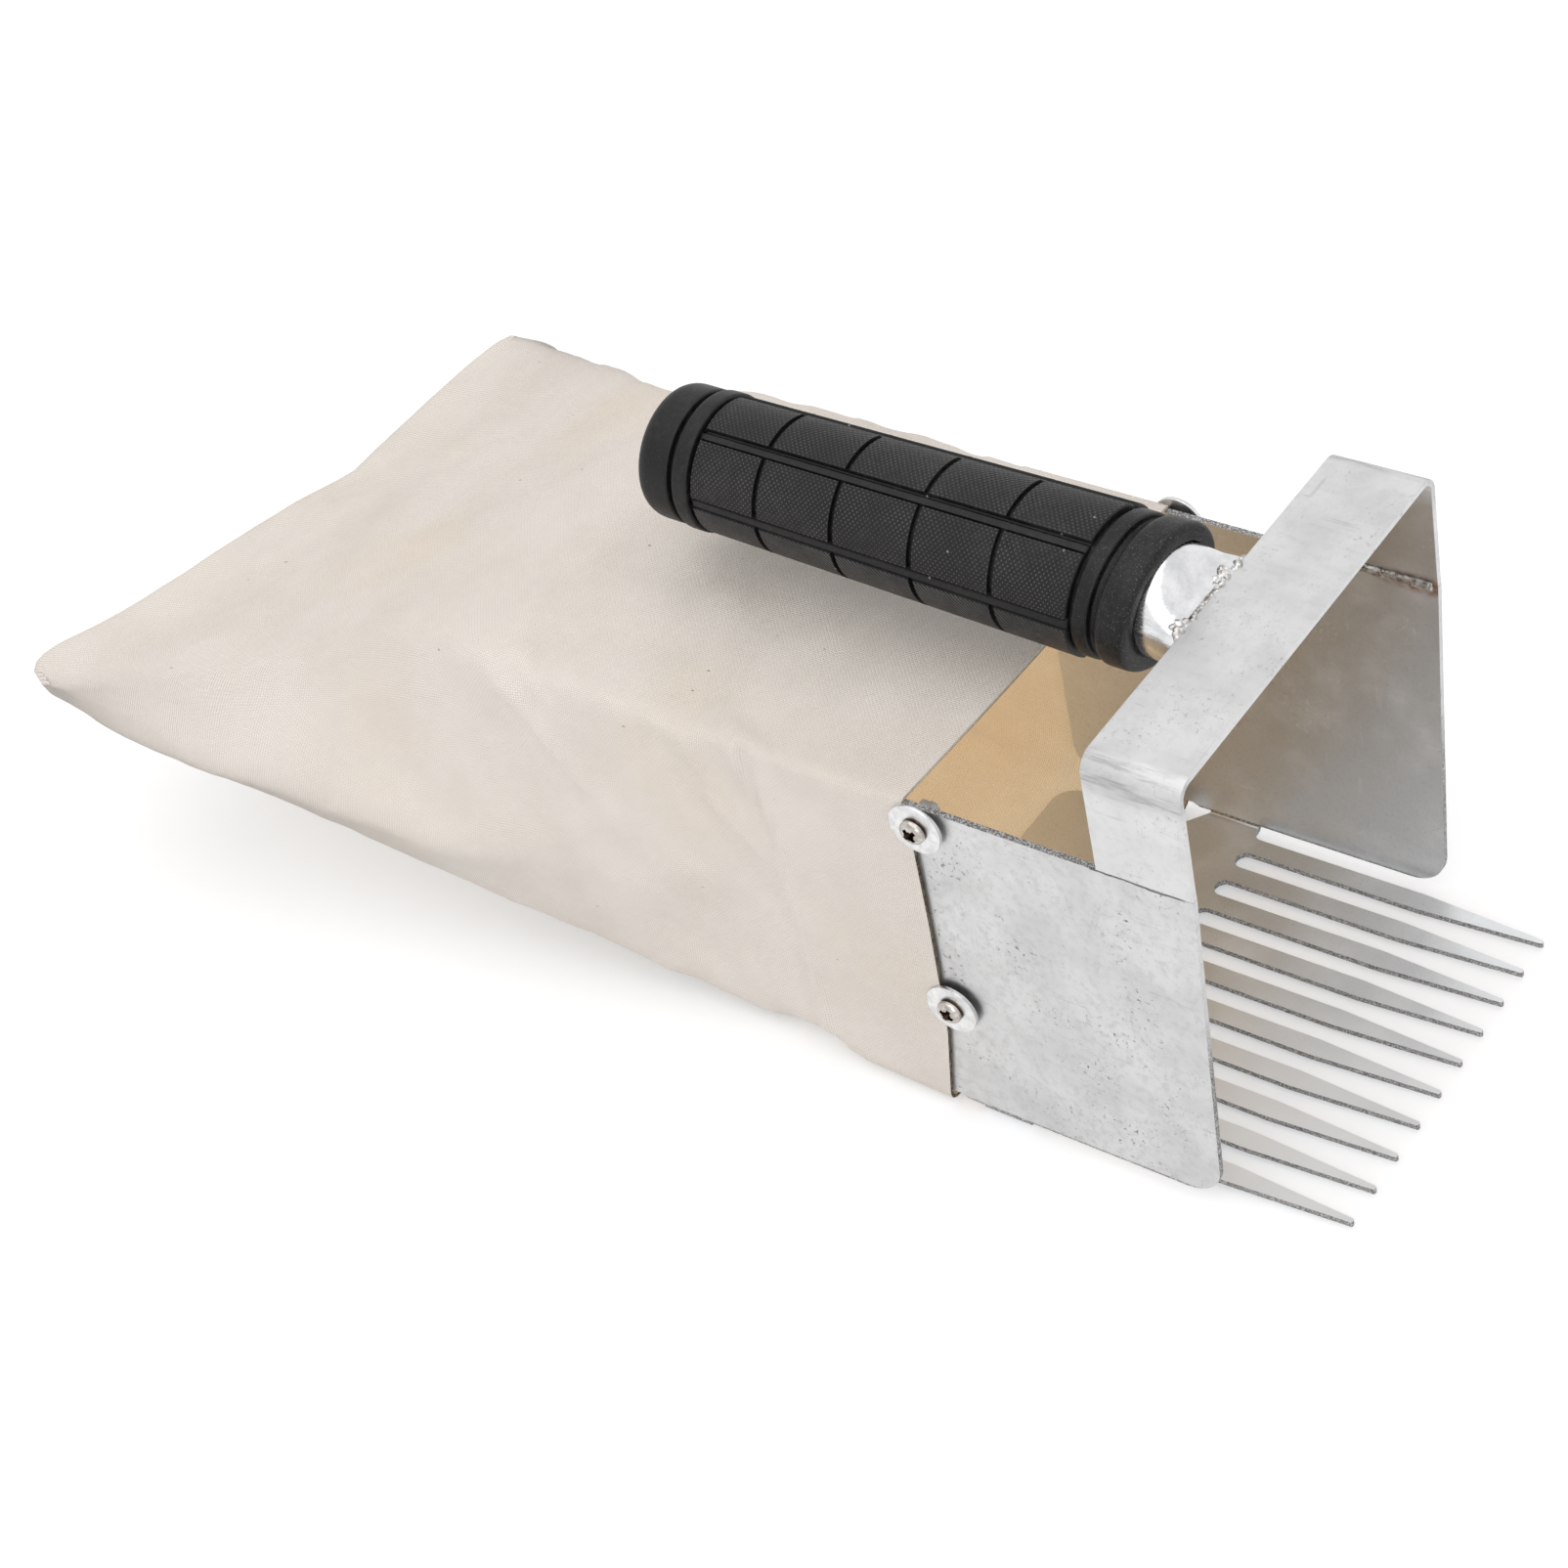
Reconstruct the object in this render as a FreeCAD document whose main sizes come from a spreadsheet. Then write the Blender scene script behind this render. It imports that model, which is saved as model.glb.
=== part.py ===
import FreeCAD, Part
import math
import os
import Sketcher

os.makedirs("parts", exist_ok=True)
doc = FreeCAD.newDocument("berry_picking_rake")

# The driving sizes, in millimetres unless the note says otherwise. Lengths along the tool run
# back from the front edge of the side walls, and heights run up from the underside of the floor.
SIZES = [
    ("tray_width", 105.0, "outside of one side wall to the outside of the other"),
    ("wall_height", 94.0, "underside of the floor to the top edge of a side wall"),
    ("wall_length", 100.0, "front edge to rear edge of a side wall"),
    ("sheet", 1.5, "thickness of the tray's sheet"),
    ("front_lean", 3.5, "how far the top of a wall's front edge leans forward"),
    ("front_corner", 9.0, "radius of a wall's lower front corner"),
    ("rear_corner", 7.0, "radius of a wall's lower rear corner"),
    ("bend_inside", 0.6, "inside radius of the fold between floor and wall"),
    ("relief_start", 61.0, "where the fold ends in a notch"),
    ("relief_run", 6.0, "length of that notch, up to its full depth"),
    ("wall_relief", 3.0, "depth of that notch in the wall"),
    ("floor_relief", 8.0, "depth of that notch in the floor"),
    ("floor_corner", 6.0, "radius of the floor's rear corners"),
    ("teeth", 10, "number of teeth"),
    ("slot_width", 5.0, "width of a slot between two teeth, at its root"),
    ("slot_root", 49.0, "depth of the slots behind the front edge"),
    ("taper_start", 3.0, "where the teeth begin to taper"),
    ("tooth_reach", 27.5, "reach of the teeth ahead of the front edge"),
    ("tooth_tip", 1.2, "width of a tooth's tip"),
    ("tip_round", 0.5, "radius of a tip's corners"),
    ("strap_width", 22.5, "width of the strap, along the tool"),
    ("strap_thick", 1.5, "thickness of the strap"),
    ("strap_rise", 30.4, "height of the strap above the side walls"),
    ("strap_bend", 3.0, "inside radius of the strap's bends"),
    ("bead_radius", 1.2, "radius of the bead inside each butt weld"),
    ("bead_inset", 1.0, "how far that bead stops short of the strap's edges"),
    ("tube_outer", 25.0, "outside diameter of the handle tube"),
    ("tube_wall", 1.5, "wall of the handle tube"),
    ("tube_tilt", 1.0, "degrees that the handle rises towards its rear"),
    ("tube_drop", 3.55, "handle axis below the middle of the strap's sheet, at its front end"),
    ("weld_gap", 0.8, "gap between the strap's edge and the tube's end, filled by weld"),
    ("fill_depth", 2.0, "how far the weld fills the tube's end above the strap"),
    ("tack_radius", 2.6, "radius of the tacks where the tube's wall meets the strap's edge"),
    ("tack_rise", 1.3, "height of these tacks above the strap"),
    ("grip_start", 8.2, "front end of the tube to the front face of the grip"),
    ("grip_length", 131.0, "length of the grip"),
    ("grip_ease", 0.03, "clearance between the tube and the grip's bore"),
    ("grip_end", 3.3, "rubber behind the tube's rear end"),
    ("front_lip", 16.7, "radius of the grip's frontmost ring"),
    ("front_lip_width", 7.5, "width of that ring"),
    ("front_groove", 14.6, "radius at the bottom of the groove behind it"),
    ("front_groove_width", 2.0, "width of that groove"),
    ("front_ring", 16.3, "radius of the ring ahead of the body"),
    ("rear_ring", 15.9, "radius of the ring behind the body"),
    ("ring_width", 4.2, "width of these two rings"),
    ("front_crease", 15.4, "radius at the bottom of the crease ahead of the body"),
    ("rear_crease", 14.3, "radius at the bottom of the crease behind the body"),
    ("crease_width", 0.8, "width of these two creases"),
    ("rear_groove", 14.2, "radius at the bottom of the groove ahead of the rearmost ring"),
    ("rear_groove_width", 1.5, "width of that groove"),
    ("rear_lip", 15.5, "radius of the grip's rearmost ring"),
    ("rear_lip_width", 10.0, "width of that ring, up to the end face"),
    ("front_body", 17.0, "radius of the grip's body at its front"),
    ("rear_body", 15.5, "radius of the grip's body at its rear"),
    ("lip_bevel", 1.3, "bevel on the edges of the frontmost ring"),
    ("end_bevel", 2.5, "bevel on the edge of the end face"),
    ("pad_rows", 6, "rows of pads round the grip"),
    ("pads", 5, "pads in each row"),
    ("first_pad", 18.4, "length of the frontmost pads"),
    ("pad_gap", 1.2, "width of the groove between two pads of a row"),
    ("pad_depth", 1.0, "depth of the groove between two pads of a row"),
    ("strip_angle", 11.0, "degrees round the grip that a strip between two rows takes"),
    ("strip_turn", 27.0, "degrees from the top of the grip to the first strip"),
    ("strip_depth", 0.5, "depth of the strips"),
    ("canvas", 1.0, "thickness of the canvas"),
    ("canvas_ease", 0.1, "clearance between the canvas and the tray"),
    ("canvas_corner", 0.7, "how far the canvas cuts its corner where it folds round the tray"),
    ("bag_front", 62.8, "front edge of the canvas behind the walls' front edge"),
    ("bag_reach", 312.0, "rear seam of the bag behind the walls' front edge"),
    ("seam_width", 7.0, "width of the flat seam at the rear of the bag"),
    ("bag_end_width", 168.0, "width of the bag's seam"),
    ("bag_end_height", 58.0, "height of the bag's seam above the underside of the floor"),
    ("bag_end_thick", 4.0, "thickness of the bag at its seam"),
    ("upper_screw", 89.5, "height of the upper screws"),
    ("upper_screw_behind", 62.4, "upper screws behind the walls' front edge"),
    ("lower_screw", 34.5, "height of the lower screws"),
    ("lower_screw_behind", 63.0, "lower screws behind the walls' front edge"),
    ("screw_outer", 3.0, "diameter of a screw's shank"),
    ("screw_length", 8.0, "length of a screw under its head"),
    ("screw_ease", 0.2, "clearance round a screw's shank"),
    ("head_outer", 6.0, "diameter of a screw's head"),
    ("head_height", 2.0, "height of a screw's head"),
    ("head_bevel", 0.7, "bevel on a screw head's edge"),
    ("recess_span", 3.2, "span of the cross recess in a screw's head"),
    ("recess_arm", 0.8, "width of the cross recess's arms"),
    ("recess_depth", 1.2, "depth of the cross recess"),
    ("washer_outer", 12.8, "diameter of the washers under the heads"),
    ("washer_thick", 1.0, "thickness of the washers under the heads"),
    ("inner_washer_outer", 7.0, "diameter of the washers inside the walls"),
    ("inner_washer_thick", 0.6, "thickness of the washers inside the walls"),
    ("nut_flats", 5.5, "size of the nuts across their flats"),
    ("nut_height", 2.4, "height of the nuts"),
    ("nut_ease", 0.05, "clearance between a screw's shank and its nut"),
    ("overrun", 5.0, "how far a cut runs past what it cuts"),
]

sheet = doc.addObject("Spreadsheet::Sheet", "sizes")
for row, (alias, number, note) in enumerate(SIZES, start=1):
    sheet.set(f"A{row}", alias)
    sheet.set(f"B{row}", str(number))
    sheet.set(f"C{row}", note)
    sheet.setAlias(f"B{row}", alias)
doc.recompute()


X_AXIS = FreeCAD.Vector(1, 0, 0)
Y_AXIS = FreeCAD.Vector(0, 1, 0)
Z_AXIS = FreeCAD.Vector(0, 0, 1)


# The left side is at negative X, seen from behind with the teeth pointing away.
SIDES = [("left", -1), ("right", 1)]


def size(alias):
    return float(sheet.get(alias))


# Places that several pieces share, written once as expressions of the sizes.
HALF_WIDTH = "(sizes.tray_width / 2)"
BEND_OUTSIDE = "(sizes.bend_inside + sizes.sheet)"
TOOTH_PITCH = "((sizes.tray_width - sizes.slot_width) / sizes.teeth)"
SLOT_HALF = "(sizes.slot_width / 2)"
STRAP_TOP = "(sizes.wall_height + sizes.strap_rise)"
STRAP_REAR = "(sizes.strap_width - sizes.front_lean)"
HANDLE_FRONT = f"({STRAP_REAR} + sizes.weld_gap)"
HANDLE_HEIGHT = f"({STRAP_TOP} - sizes.strap_thick / 2 - sizes.tube_drop)"
TUBE_LENGTH = "(sizes.grip_start + sizes.grip_length - sizes.grip_end)"
CANVAS_OUT = "(sizes.canvas_ease + sizes.canvas)"
SHANK_HOLE = "(sizes.screw_outer / 2 + sizes.screw_ease)"
SCREWS = [
    ("sizes.upper_screw_behind", "sizes.upper_screw"),
    ("sizes.lower_screw_behind", "sizes.lower_screw"),
]

# The frame's origin is under the middle of the part, on the surface that it rests on, so every
# piece is moved forward by this shift and raised by the canvas that lies under the floor.
SHIFT = "((sizes.tooth_reach - sizes.bag_reach) / 2)"
LIFT = CANVAS_OUT


def place(thing, along="0", height="0", across="0"):
    """Bind an object's position to the sizes, counted from the walls' front edge."""
    thing.setExpression("Placement.Base.x", across)
    thing.setExpression("Placement.Base.y", f"{SHIFT} + {along}")
    thing.setExpression("Placement.Base.z", f"{LIFT} + {height}")


def place_on_handle(thing):
    """Put an object in the tilted frame of the handle, which starts at the tube's front end."""
    thing.Placement = FreeCAD.Placement(FreeCAD.Vector(), FreeCAD.Rotation(X_AXIS, 0))
    thing.setExpression("Placement.Rotation.Angle", "sizes.tube_tilt")
    place(thing, HANDLE_FRONT, HANDLE_HEIGHT)


def new_body(label):
    body = doc.addObject("PartDesign::Body", label)
    body.Label = label
    return body


def origin_feature(body, role):
    for feature in body.Origin.OriginFeatures:
        if feature.Role == role:
            return feature
    raise ValueError(role)


def sketch_on(body, role, name, offset=None):
    """A sketch on one of the body's own origin planes, moved along its normal by offset."""
    sketch = body.newObject("Sketcher::SketchObject", name)
    sketch.AttachmentSupport = [(origin_feature(body, role), "")]
    sketch.MapMode = "FlatFace"
    if offset:
        sketch.setExpression("AttachmentOffset.Base.z", offset)
    return sketch


def hold(sketch, kind, geometry, vertex, expression):
    constraint = Sketcher.Constraint(kind, -1, 1, geometry, vertex, 1.0)
    index = sketch.addConstraint(constraint)
    sketch.setExpression(f"Constraints[{index}]", expression)


def outline(sketch, corners):
    """Draw a closed outline of straight lines whose corners are pairs of expressions."""
    first = sketch.GeometryCount
    count = len(corners)
    turn = 2 * math.pi / count
    rim = [FreeCAD.Vector(math.cos(turn * i), math.sin(turn * i), 0) for i in range(count)]
    for i in range(count):
        sketch.addGeometry(Part.LineSegment(rim[i], rim[(i + 1) % count]))
    for i in range(count):
        following = first + (i + 1) % count
        sketch.addConstraint(Sketcher.Constraint("Coincident", first + i, 2, following, 1))
    for i, (across, up) in enumerate(corners):
        hold(sketch, "DistanceX", first + i, 1, across)
        hold(sketch, "DistanceY", first + i, 1, up)


def circle(sketch, across, up, radius):
    """Draw a circle held by its centre and radius, all expressions."""
    index = sketch.addGeometry(Part.Circle())
    hold(sketch, "DistanceX", index, 3, across)
    hold(sketch, "DistanceY", index, 3, up)
    constraint = sketch.addConstraint(Sketcher.Constraint("Radius", index, 1.0))
    sketch.setExpression(f"Constraints[{constraint}]", radius)


def pad(body, name, profile, length, backwards=False):
    feature = body.newObject("PartDesign::Pad", name)
    feature.Profile = profile
    feature.setExpression("Length", length)
    feature.Reversed = backwards
    return feature


def must_cut(before, after):
    """Stop if a cut took nothing away, which the kernel doesn't report."""
    if after.Shape.Volume >= before.Shape.Volume:
        raise RuntimeError(f"{after.Label} removed nothing")


def pocket(body, name, profile, length, backwards=False, symmetric=False):
    before = body.Tip
    feature = body.newObject("PartDesign::Pocket", name)
    feature.Profile = profile
    feature.setExpression("Length", length)
    feature.Reversed = backwards
    if symmetric:
        feature.SideType = "Symmetric"
    doc.recompute()
    must_cut(before, feature)
    return feature


def mirror(body, name, originals, role):
    feature = body.newObject("PartDesign::Mirrored", name)
    feature.Originals = originals
    feature.MirrorPlane = (origin_feature(body, role), [""])
    body.Tip = feature
    return feature


def near(one, other):
    """Whether two lengths are the same, within a small share of the sheet's thickness."""
    same_share = 0.01
    return abs(one - other) < same_share * size("sheet")


def dress(body, kind, name, test):
    """Start a fillet or chamfer on the edges of the body's last feature that pass the test."""
    doc.recompute()
    base = body.Tip
    edges = []
    for index, edge in enumerate(base.Shape.Edges, start=1):
        if test(edge.CenterOfMass, edge):
            edges.append(f"Edge{index}")
    if not edges:
        raise RuntimeError(f"{name} found no edge")
    feature = body.newObject(f"PartDesign::{kind}", name)
    feature.Base = (base, edges)
    body.Tip = feature
    return feature


def fillet(body, name, radius, test):
    dress(body, "Fillet", name, test).setExpression("Radius", radius)


def chamfer(body, name, width, test):
    dress(body, "Chamfer", name, test).setExpression("Size", width)


def runs_along(edge, axis):
    """Whether an edge is straight and parallel to an axis."""
    if edge.Curve.TypeId != "Part::GeomLine":
        return False
    return near(abs(edge.tangentAt(edge.FirstParameter).dot(axis)), 1)


def is_ring(edge, along, radius):
    """Whether an edge is a circle round the Y axis at a given place and radius."""
    if edge.Curve.TypeId != "Part::GeomCircle":
        return False
    return near(edge.Curve.Center.y, along) and near(edge.Curve.Radius, radius)


def revolve(body, name, profile):
    """Turn a profile into a solid round the Y axis."""
    feature = body.newObject("PartDesign::Revolution", name)
    feature.Profile = profile
    feature.ReferenceAxis = (origin_feature(body, "Y_Axis"), [""])
    feature.Angle = 360
    return feature


def groove(body, name, profile, angle):
    """Cut a profile round the Y axis, half of the angle to each side of its sketch."""
    before = body.Tip
    feature = body.newObject("PartDesign::Groove", name)
    feature.Profile = profile
    feature.ReferenceAxis = (origin_feature(body, "Y_Axis"), [""])
    feature.setExpression("Angle", angle)
    feature.Midplane = True
    doc.recompute()
    must_cut(before, feature)
    return feature


def screw_holes(body, radius):
    """Drill both walls at the screws' places, right across the body."""
    holes = sketch_on(body, "YZ_Plane", "screw_places")
    for behind, height in SCREWS:
        circle(holes, behind, height, radius)
    width = f"sizes.tray_width + 2 * {CANVAS_OUT} + 2 * sizes.overrun"
    return pocket(body, "screw_holes", holes, width, symmetric=True)


def scoop_tray():
    """One sheet folded into a floor and two walls, with the comb cut into the floor's front."""
    body = new_body("scoop_tray")
    channel = sketch_on(body, "XZ_Plane", "channel_outline", "sizes.tooth_reach")
    inner = f"({HALF_WIDTH} - sizes.sheet)"
    top = "sizes.wall_height"
    outline(channel, [
        (f"-{HALF_WIDTH}", "0"), (HALF_WIDTH, "0"), (HALF_WIDTH, top), (inner, top),
        (inner, "sizes.sheet"), (f"-{inner}", "sizes.sheet"), (f"-{inner}", top),
        (f"-{HALF_WIDTH}", top),
    ])
    length = "sizes.tooth_reach + sizes.wall_length"
    pad(body, "channel", channel, length, backwards=True)

    half = size("tray_width") / 2
    thick = size("sheet")
    fillet(body, "bend_outsides", BEND_OUTSIDE,
           lambda p, edge: runs_along(edge, Y_AXIS) and near(p.z, 0) and near(abs(p.x), half))
    fillet(body, "bend_insides", "sizes.bend_inside",
           lambda p, edge: runs_along(edge, Y_AXIS) and near(p.z, thick)
           and near(abs(p.x), half - thick))

    # Ahead of their front edge the walls are cut away, down to the sheet of the teeth.
    front = sketch_on(body, "YZ_Plane", "wall_front_outline")
    ahead = "(-sizes.tooth_reach - sizes.overrun)"
    outline(front, [
        (ahead, "sizes.sheet"), ("0", "sizes.sheet"), ("-sizes.front_lean", top),
        ("-sizes.front_lean", f"{top} + sizes.overrun"), (ahead, f"{top} + sizes.overrun"),
    ])
    pocket(body, "wall_fronts", front, "sizes.tray_width + 2 * sizes.overrun", symmetric=True)

    # Behind the fold a notch frees the wall from the floor, so that the canvas can lie close.
    wall_notch = sketch_on(body, "YZ_Plane", "wall_notch_outline", f"{HALF_WIDTH} + sizes.overrun")
    notch_end = "sizes.relief_start + sizes.relief_run"
    beyond = "sizes.wall_length + sizes.overrun"
    outline(wall_notch, [
        ("sizes.relief_start", "-sizes.overrun"), ("sizes.relief_start", "0"),
        (notch_end, "sizes.wall_relief"), (beyond, "sizes.wall_relief"), (beyond, "-sizes.overrun"),
    ])
    one_wall = f"{BEND_OUTSIDE} + sizes.overrun"
    wall_cut = pocket(body, "wall_notch", wall_notch, one_wall)

    edges = sketch_on(body, "XY_Plane", "floor_edge_outline", "-sizes.overrun")
    outside = f"{HALF_WIDTH} + sizes.overrun"
    outer_slot = f"{HALF_WIDTH} - {SLOT_HALF}"
    floor_side = f"{HALF_WIDTH} - sizes.floor_relief"
    outline(edges, [
        (outer_slot, ahead), (outside, ahead), (outside, "sizes.slot_root"),
        (outer_slot, "sizes.slot_root"),
    ])
    outline(edges, [
        (HALF_WIDTH, "sizes.relief_start"), (outside, "sizes.relief_start"), (outside, beyond),
        (floor_side, beyond), (floor_side, notch_end),
    ])
    fold_height = f"{BEND_OUTSIDE} + sizes.overrun"
    edge_cut = pocket(body, "floor_edge", edges, fold_height, backwards=True)
    mirror(body, "both_sides", [wall_cut, edge_cut], "YZ_Plane")

    # The slots widen forwards from where the teeth begin to taper, and end in a full round.
    slot = sketch_on(body, "XY_Plane", "slot_outline", "-sizes.overrun")
    middle = f"-{HALF_WIDTH} + {SLOT_HALF}"
    tip_half = f"(({TOOTH_PITCH} - sizes.tooth_tip) / 2)"
    root = f"sizes.slot_root - {SLOT_HALF}"
    outline(slot, [
        (f"{middle} - {tip_half}", ahead), (f"{middle} + {tip_half}", ahead),
        (f"{middle} + {tip_half}", "-sizes.tooth_reach"),
        (f"{middle} + {SLOT_HALF}", "sizes.taper_start"), (f"{middle} + {SLOT_HALF}", root),
        (f"{middle} - {SLOT_HALF}", root), (f"{middle} - {SLOT_HALF}", "sizes.taper_start"),
        (f"{middle} - {tip_half}", "-sizes.tooth_reach"),
    ])
    slot_cut = pocket(body, "slot", slot, fold_height, backwards=True)
    ends = sketch_on(body, "XY_Plane", "slot_end_outline", "-sizes.overrun")
    circle(ends, middle, root, SLOT_HALF)
    end_cut = pocket(body, "slot_end", ends, fold_height, backwards=True)
    comb = body.newObject("PartDesign::LinearPattern", "comb")
    comb.Originals = [slot_cut, end_cut]
    comb.Direction = (origin_feature(body, "X_Axis"), [""])
    comb.setExpression("Length", f"sizes.teeth * {TOOTH_PITCH}")
    comb.setExpression("Occurrences", "sizes.teeth + 1")
    body.Tip = comb

    screw_holes(body, SHANK_HOLE)
    fold = size("bend_inside") + thick
    fillet(body, "front_corners", "sizes.front_corner",
           lambda p, edge: runs_along(edge, X_AXIS) and near(p.z, fold) and p.y < thick)
    fillet(body, "rear_corners", "sizes.rear_corner",
           lambda p, edge: runs_along(edge, X_AXIS) and near(p.z, size("wall_relief"))
           and near(p.y, size("wall_length")))
    fillet(body, "floor_corners", "sizes.floor_corner",
           lambda p, edge: runs_along(edge, Z_AXIS) and near(p.y, size("wall_length"))
           and p.z < thick)
    fillet(body, "tooth_tips", "sizes.tip_round",
           lambda p, edge: runs_along(edge, Z_AXIS) and near(p.y, -size("tooth_reach")))
    place(body)
    return body


def bridge_strap():
    """A flat bar bent into a low arch, whose ends stand on the walls' top edges."""
    body = new_body("bridge_strap")
    arch = sketch_on(body, "XZ_Plane", "arch_outline", "sizes.front_lean")
    inner = f"({HALF_WIDTH} - sizes.strap_thick)"
    under = f"{STRAP_TOP} - sizes.strap_thick"
    outline(arch, [
        (f"-{HALF_WIDTH}", "sizes.wall_height"), (f"-{inner}", "sizes.wall_height"),
        (f"-{inner}", under), (inner, under), (inner, "sizes.wall_height"),
        (HALF_WIDTH, "sizes.wall_height"), (HALF_WIDTH, STRAP_TOP), (f"-{HALF_WIDTH}", STRAP_TOP),
    ])
    pad(body, "arch", arch, "sizes.strap_width", backwards=True)
    half = size("tray_width") / 2
    top = size("wall_height") + size("strap_rise")
    thick = size("strap_thick")
    fillet(body, "bend_outsides", "sizes.strap_bend + sizes.strap_thick",
           lambda p, edge: runs_along(edge, Y_AXIS) and near(p.z, top) and near(abs(p.x), half))
    fillet(body, "bend_insides", "sizes.strap_bend",
           lambda p, edge: runs_along(edge, Y_AXIS) and near(p.z, top - thick)
           and near(abs(p.x), half - thick))
    place(body)
    return body


def strap_weld(side_name, side):
    """A half-round bead along the inside of the joint between the strap and one wall."""
    bead = doc.addObject("Part::Cylinder", f"strap_weld_{side_name}")
    bead.setExpression("Radius", "sizes.bead_radius")
    bead.setExpression("Height", "sizes.strap_width - 2 * sizes.bead_inset")
    bead.Angle = 180
    bead.Placement = FreeCAD.Placement(
        FreeCAD.Vector(), FreeCAD.Rotation(-side * Z_AXIS, -side * X_AXIS, Y_AXIS, "ZXY"))
    place(bead, "sizes.bead_inset - sizes.front_lean", "sizes.wall_height",
          f"{side} * ({HALF_WIDTH} - sizes.sheet)")
    return bead


def handle_tube():
    """A plain length of tube that butts against the strap's rear edge."""
    body = new_body("handle_tube")
    section = sketch_on(body, "XZ_Plane", "tube_section")
    circle(section, "0", "0", "sizes.tube_outer / 2")
    circle(section, "0", "0", "sizes.tube_outer / 2 - sizes.tube_wall")
    pad(body, "tube", section, TUBE_LENGTH, backwards=True)
    place_on_handle(body)
    return body


def handle_weld(tube, strap):
    """Weld that closes the tube's end above the strap, with a tack at each side."""
    fill = doc.addObject("Part::Cylinder", "fill")
    fill.setExpression("Radius", "sizes.tube_outer / 2")
    fill.setExpression("Height", "sizes.weld_gap + sizes.fill_depth")
    fill.Placement = FreeCAD.Placement(FreeCAD.Vector(), FreeCAD.Rotation(-X_AXIS, 90))
    fill.setExpression("Placement.Rotation.Angle", "90 - sizes.tube_tilt")
    place(fill, f"{HANDLE_FRONT} - sizes.weld_gap", HANDLE_HEIGHT)
    above = doc.addObject("Part::Box", "above_strap")
    above.setExpression("Length", "sizes.tube_outer + 2 * sizes.overrun")
    above.setExpression("Width", "sizes.weld_gap + sizes.fill_depth + 2 * sizes.overrun")
    above.setExpression("Height", "sizes.tube_outer")
    place(above, f"{STRAP_REAR} - sizes.overrun", f"{STRAP_TOP} - sizes.strap_thick",
          "-sizes.tube_outer / 2 - sizes.overrun")
    upper_fill = doc.addObject("Part::Common", "upper_fill")
    upper_fill.Base = fill
    upper_fill.Tool = above
    rise = "(sizes.strap_thick / 2 + sizes.tube_drop)"
    beside = f"sqrt((sizes.tube_outer / 2) ^ 2 - {rise} ^ 2)"
    tacks = []
    for side_name, side in SIDES:
        tack = doc.addObject("Part::Cone", f"tack_{side_name}")
        tack.setExpression("Radius1", "sizes.tack_radius")
        tack.setExpression("Radius2", "sizes.tack_radius / 2")
        tack.setExpression("Height", "sizes.strap_thick + sizes.tack_rise")
        place(tack, f"{STRAP_REAR} + sizes.weld_gap / 2", f"{STRAP_TOP} - sizes.strap_thick",
              f"{side} * {beside}")
        tacks.append(tack)
    blob = doc.addObject("Part::MultiFuse", "weld_blob")
    blob.Shapes = [upper_fill, *tacks]
    off_tube = doc.addObject("Part::Cut", "weld_off_tube")
    off_tube.Base = blob
    off_tube.Tool = tube
    weld = doc.addObject("Part::Cut", "handle_weld")
    weld.Base = off_tube
    weld.Tool = strap
    return weld


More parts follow.
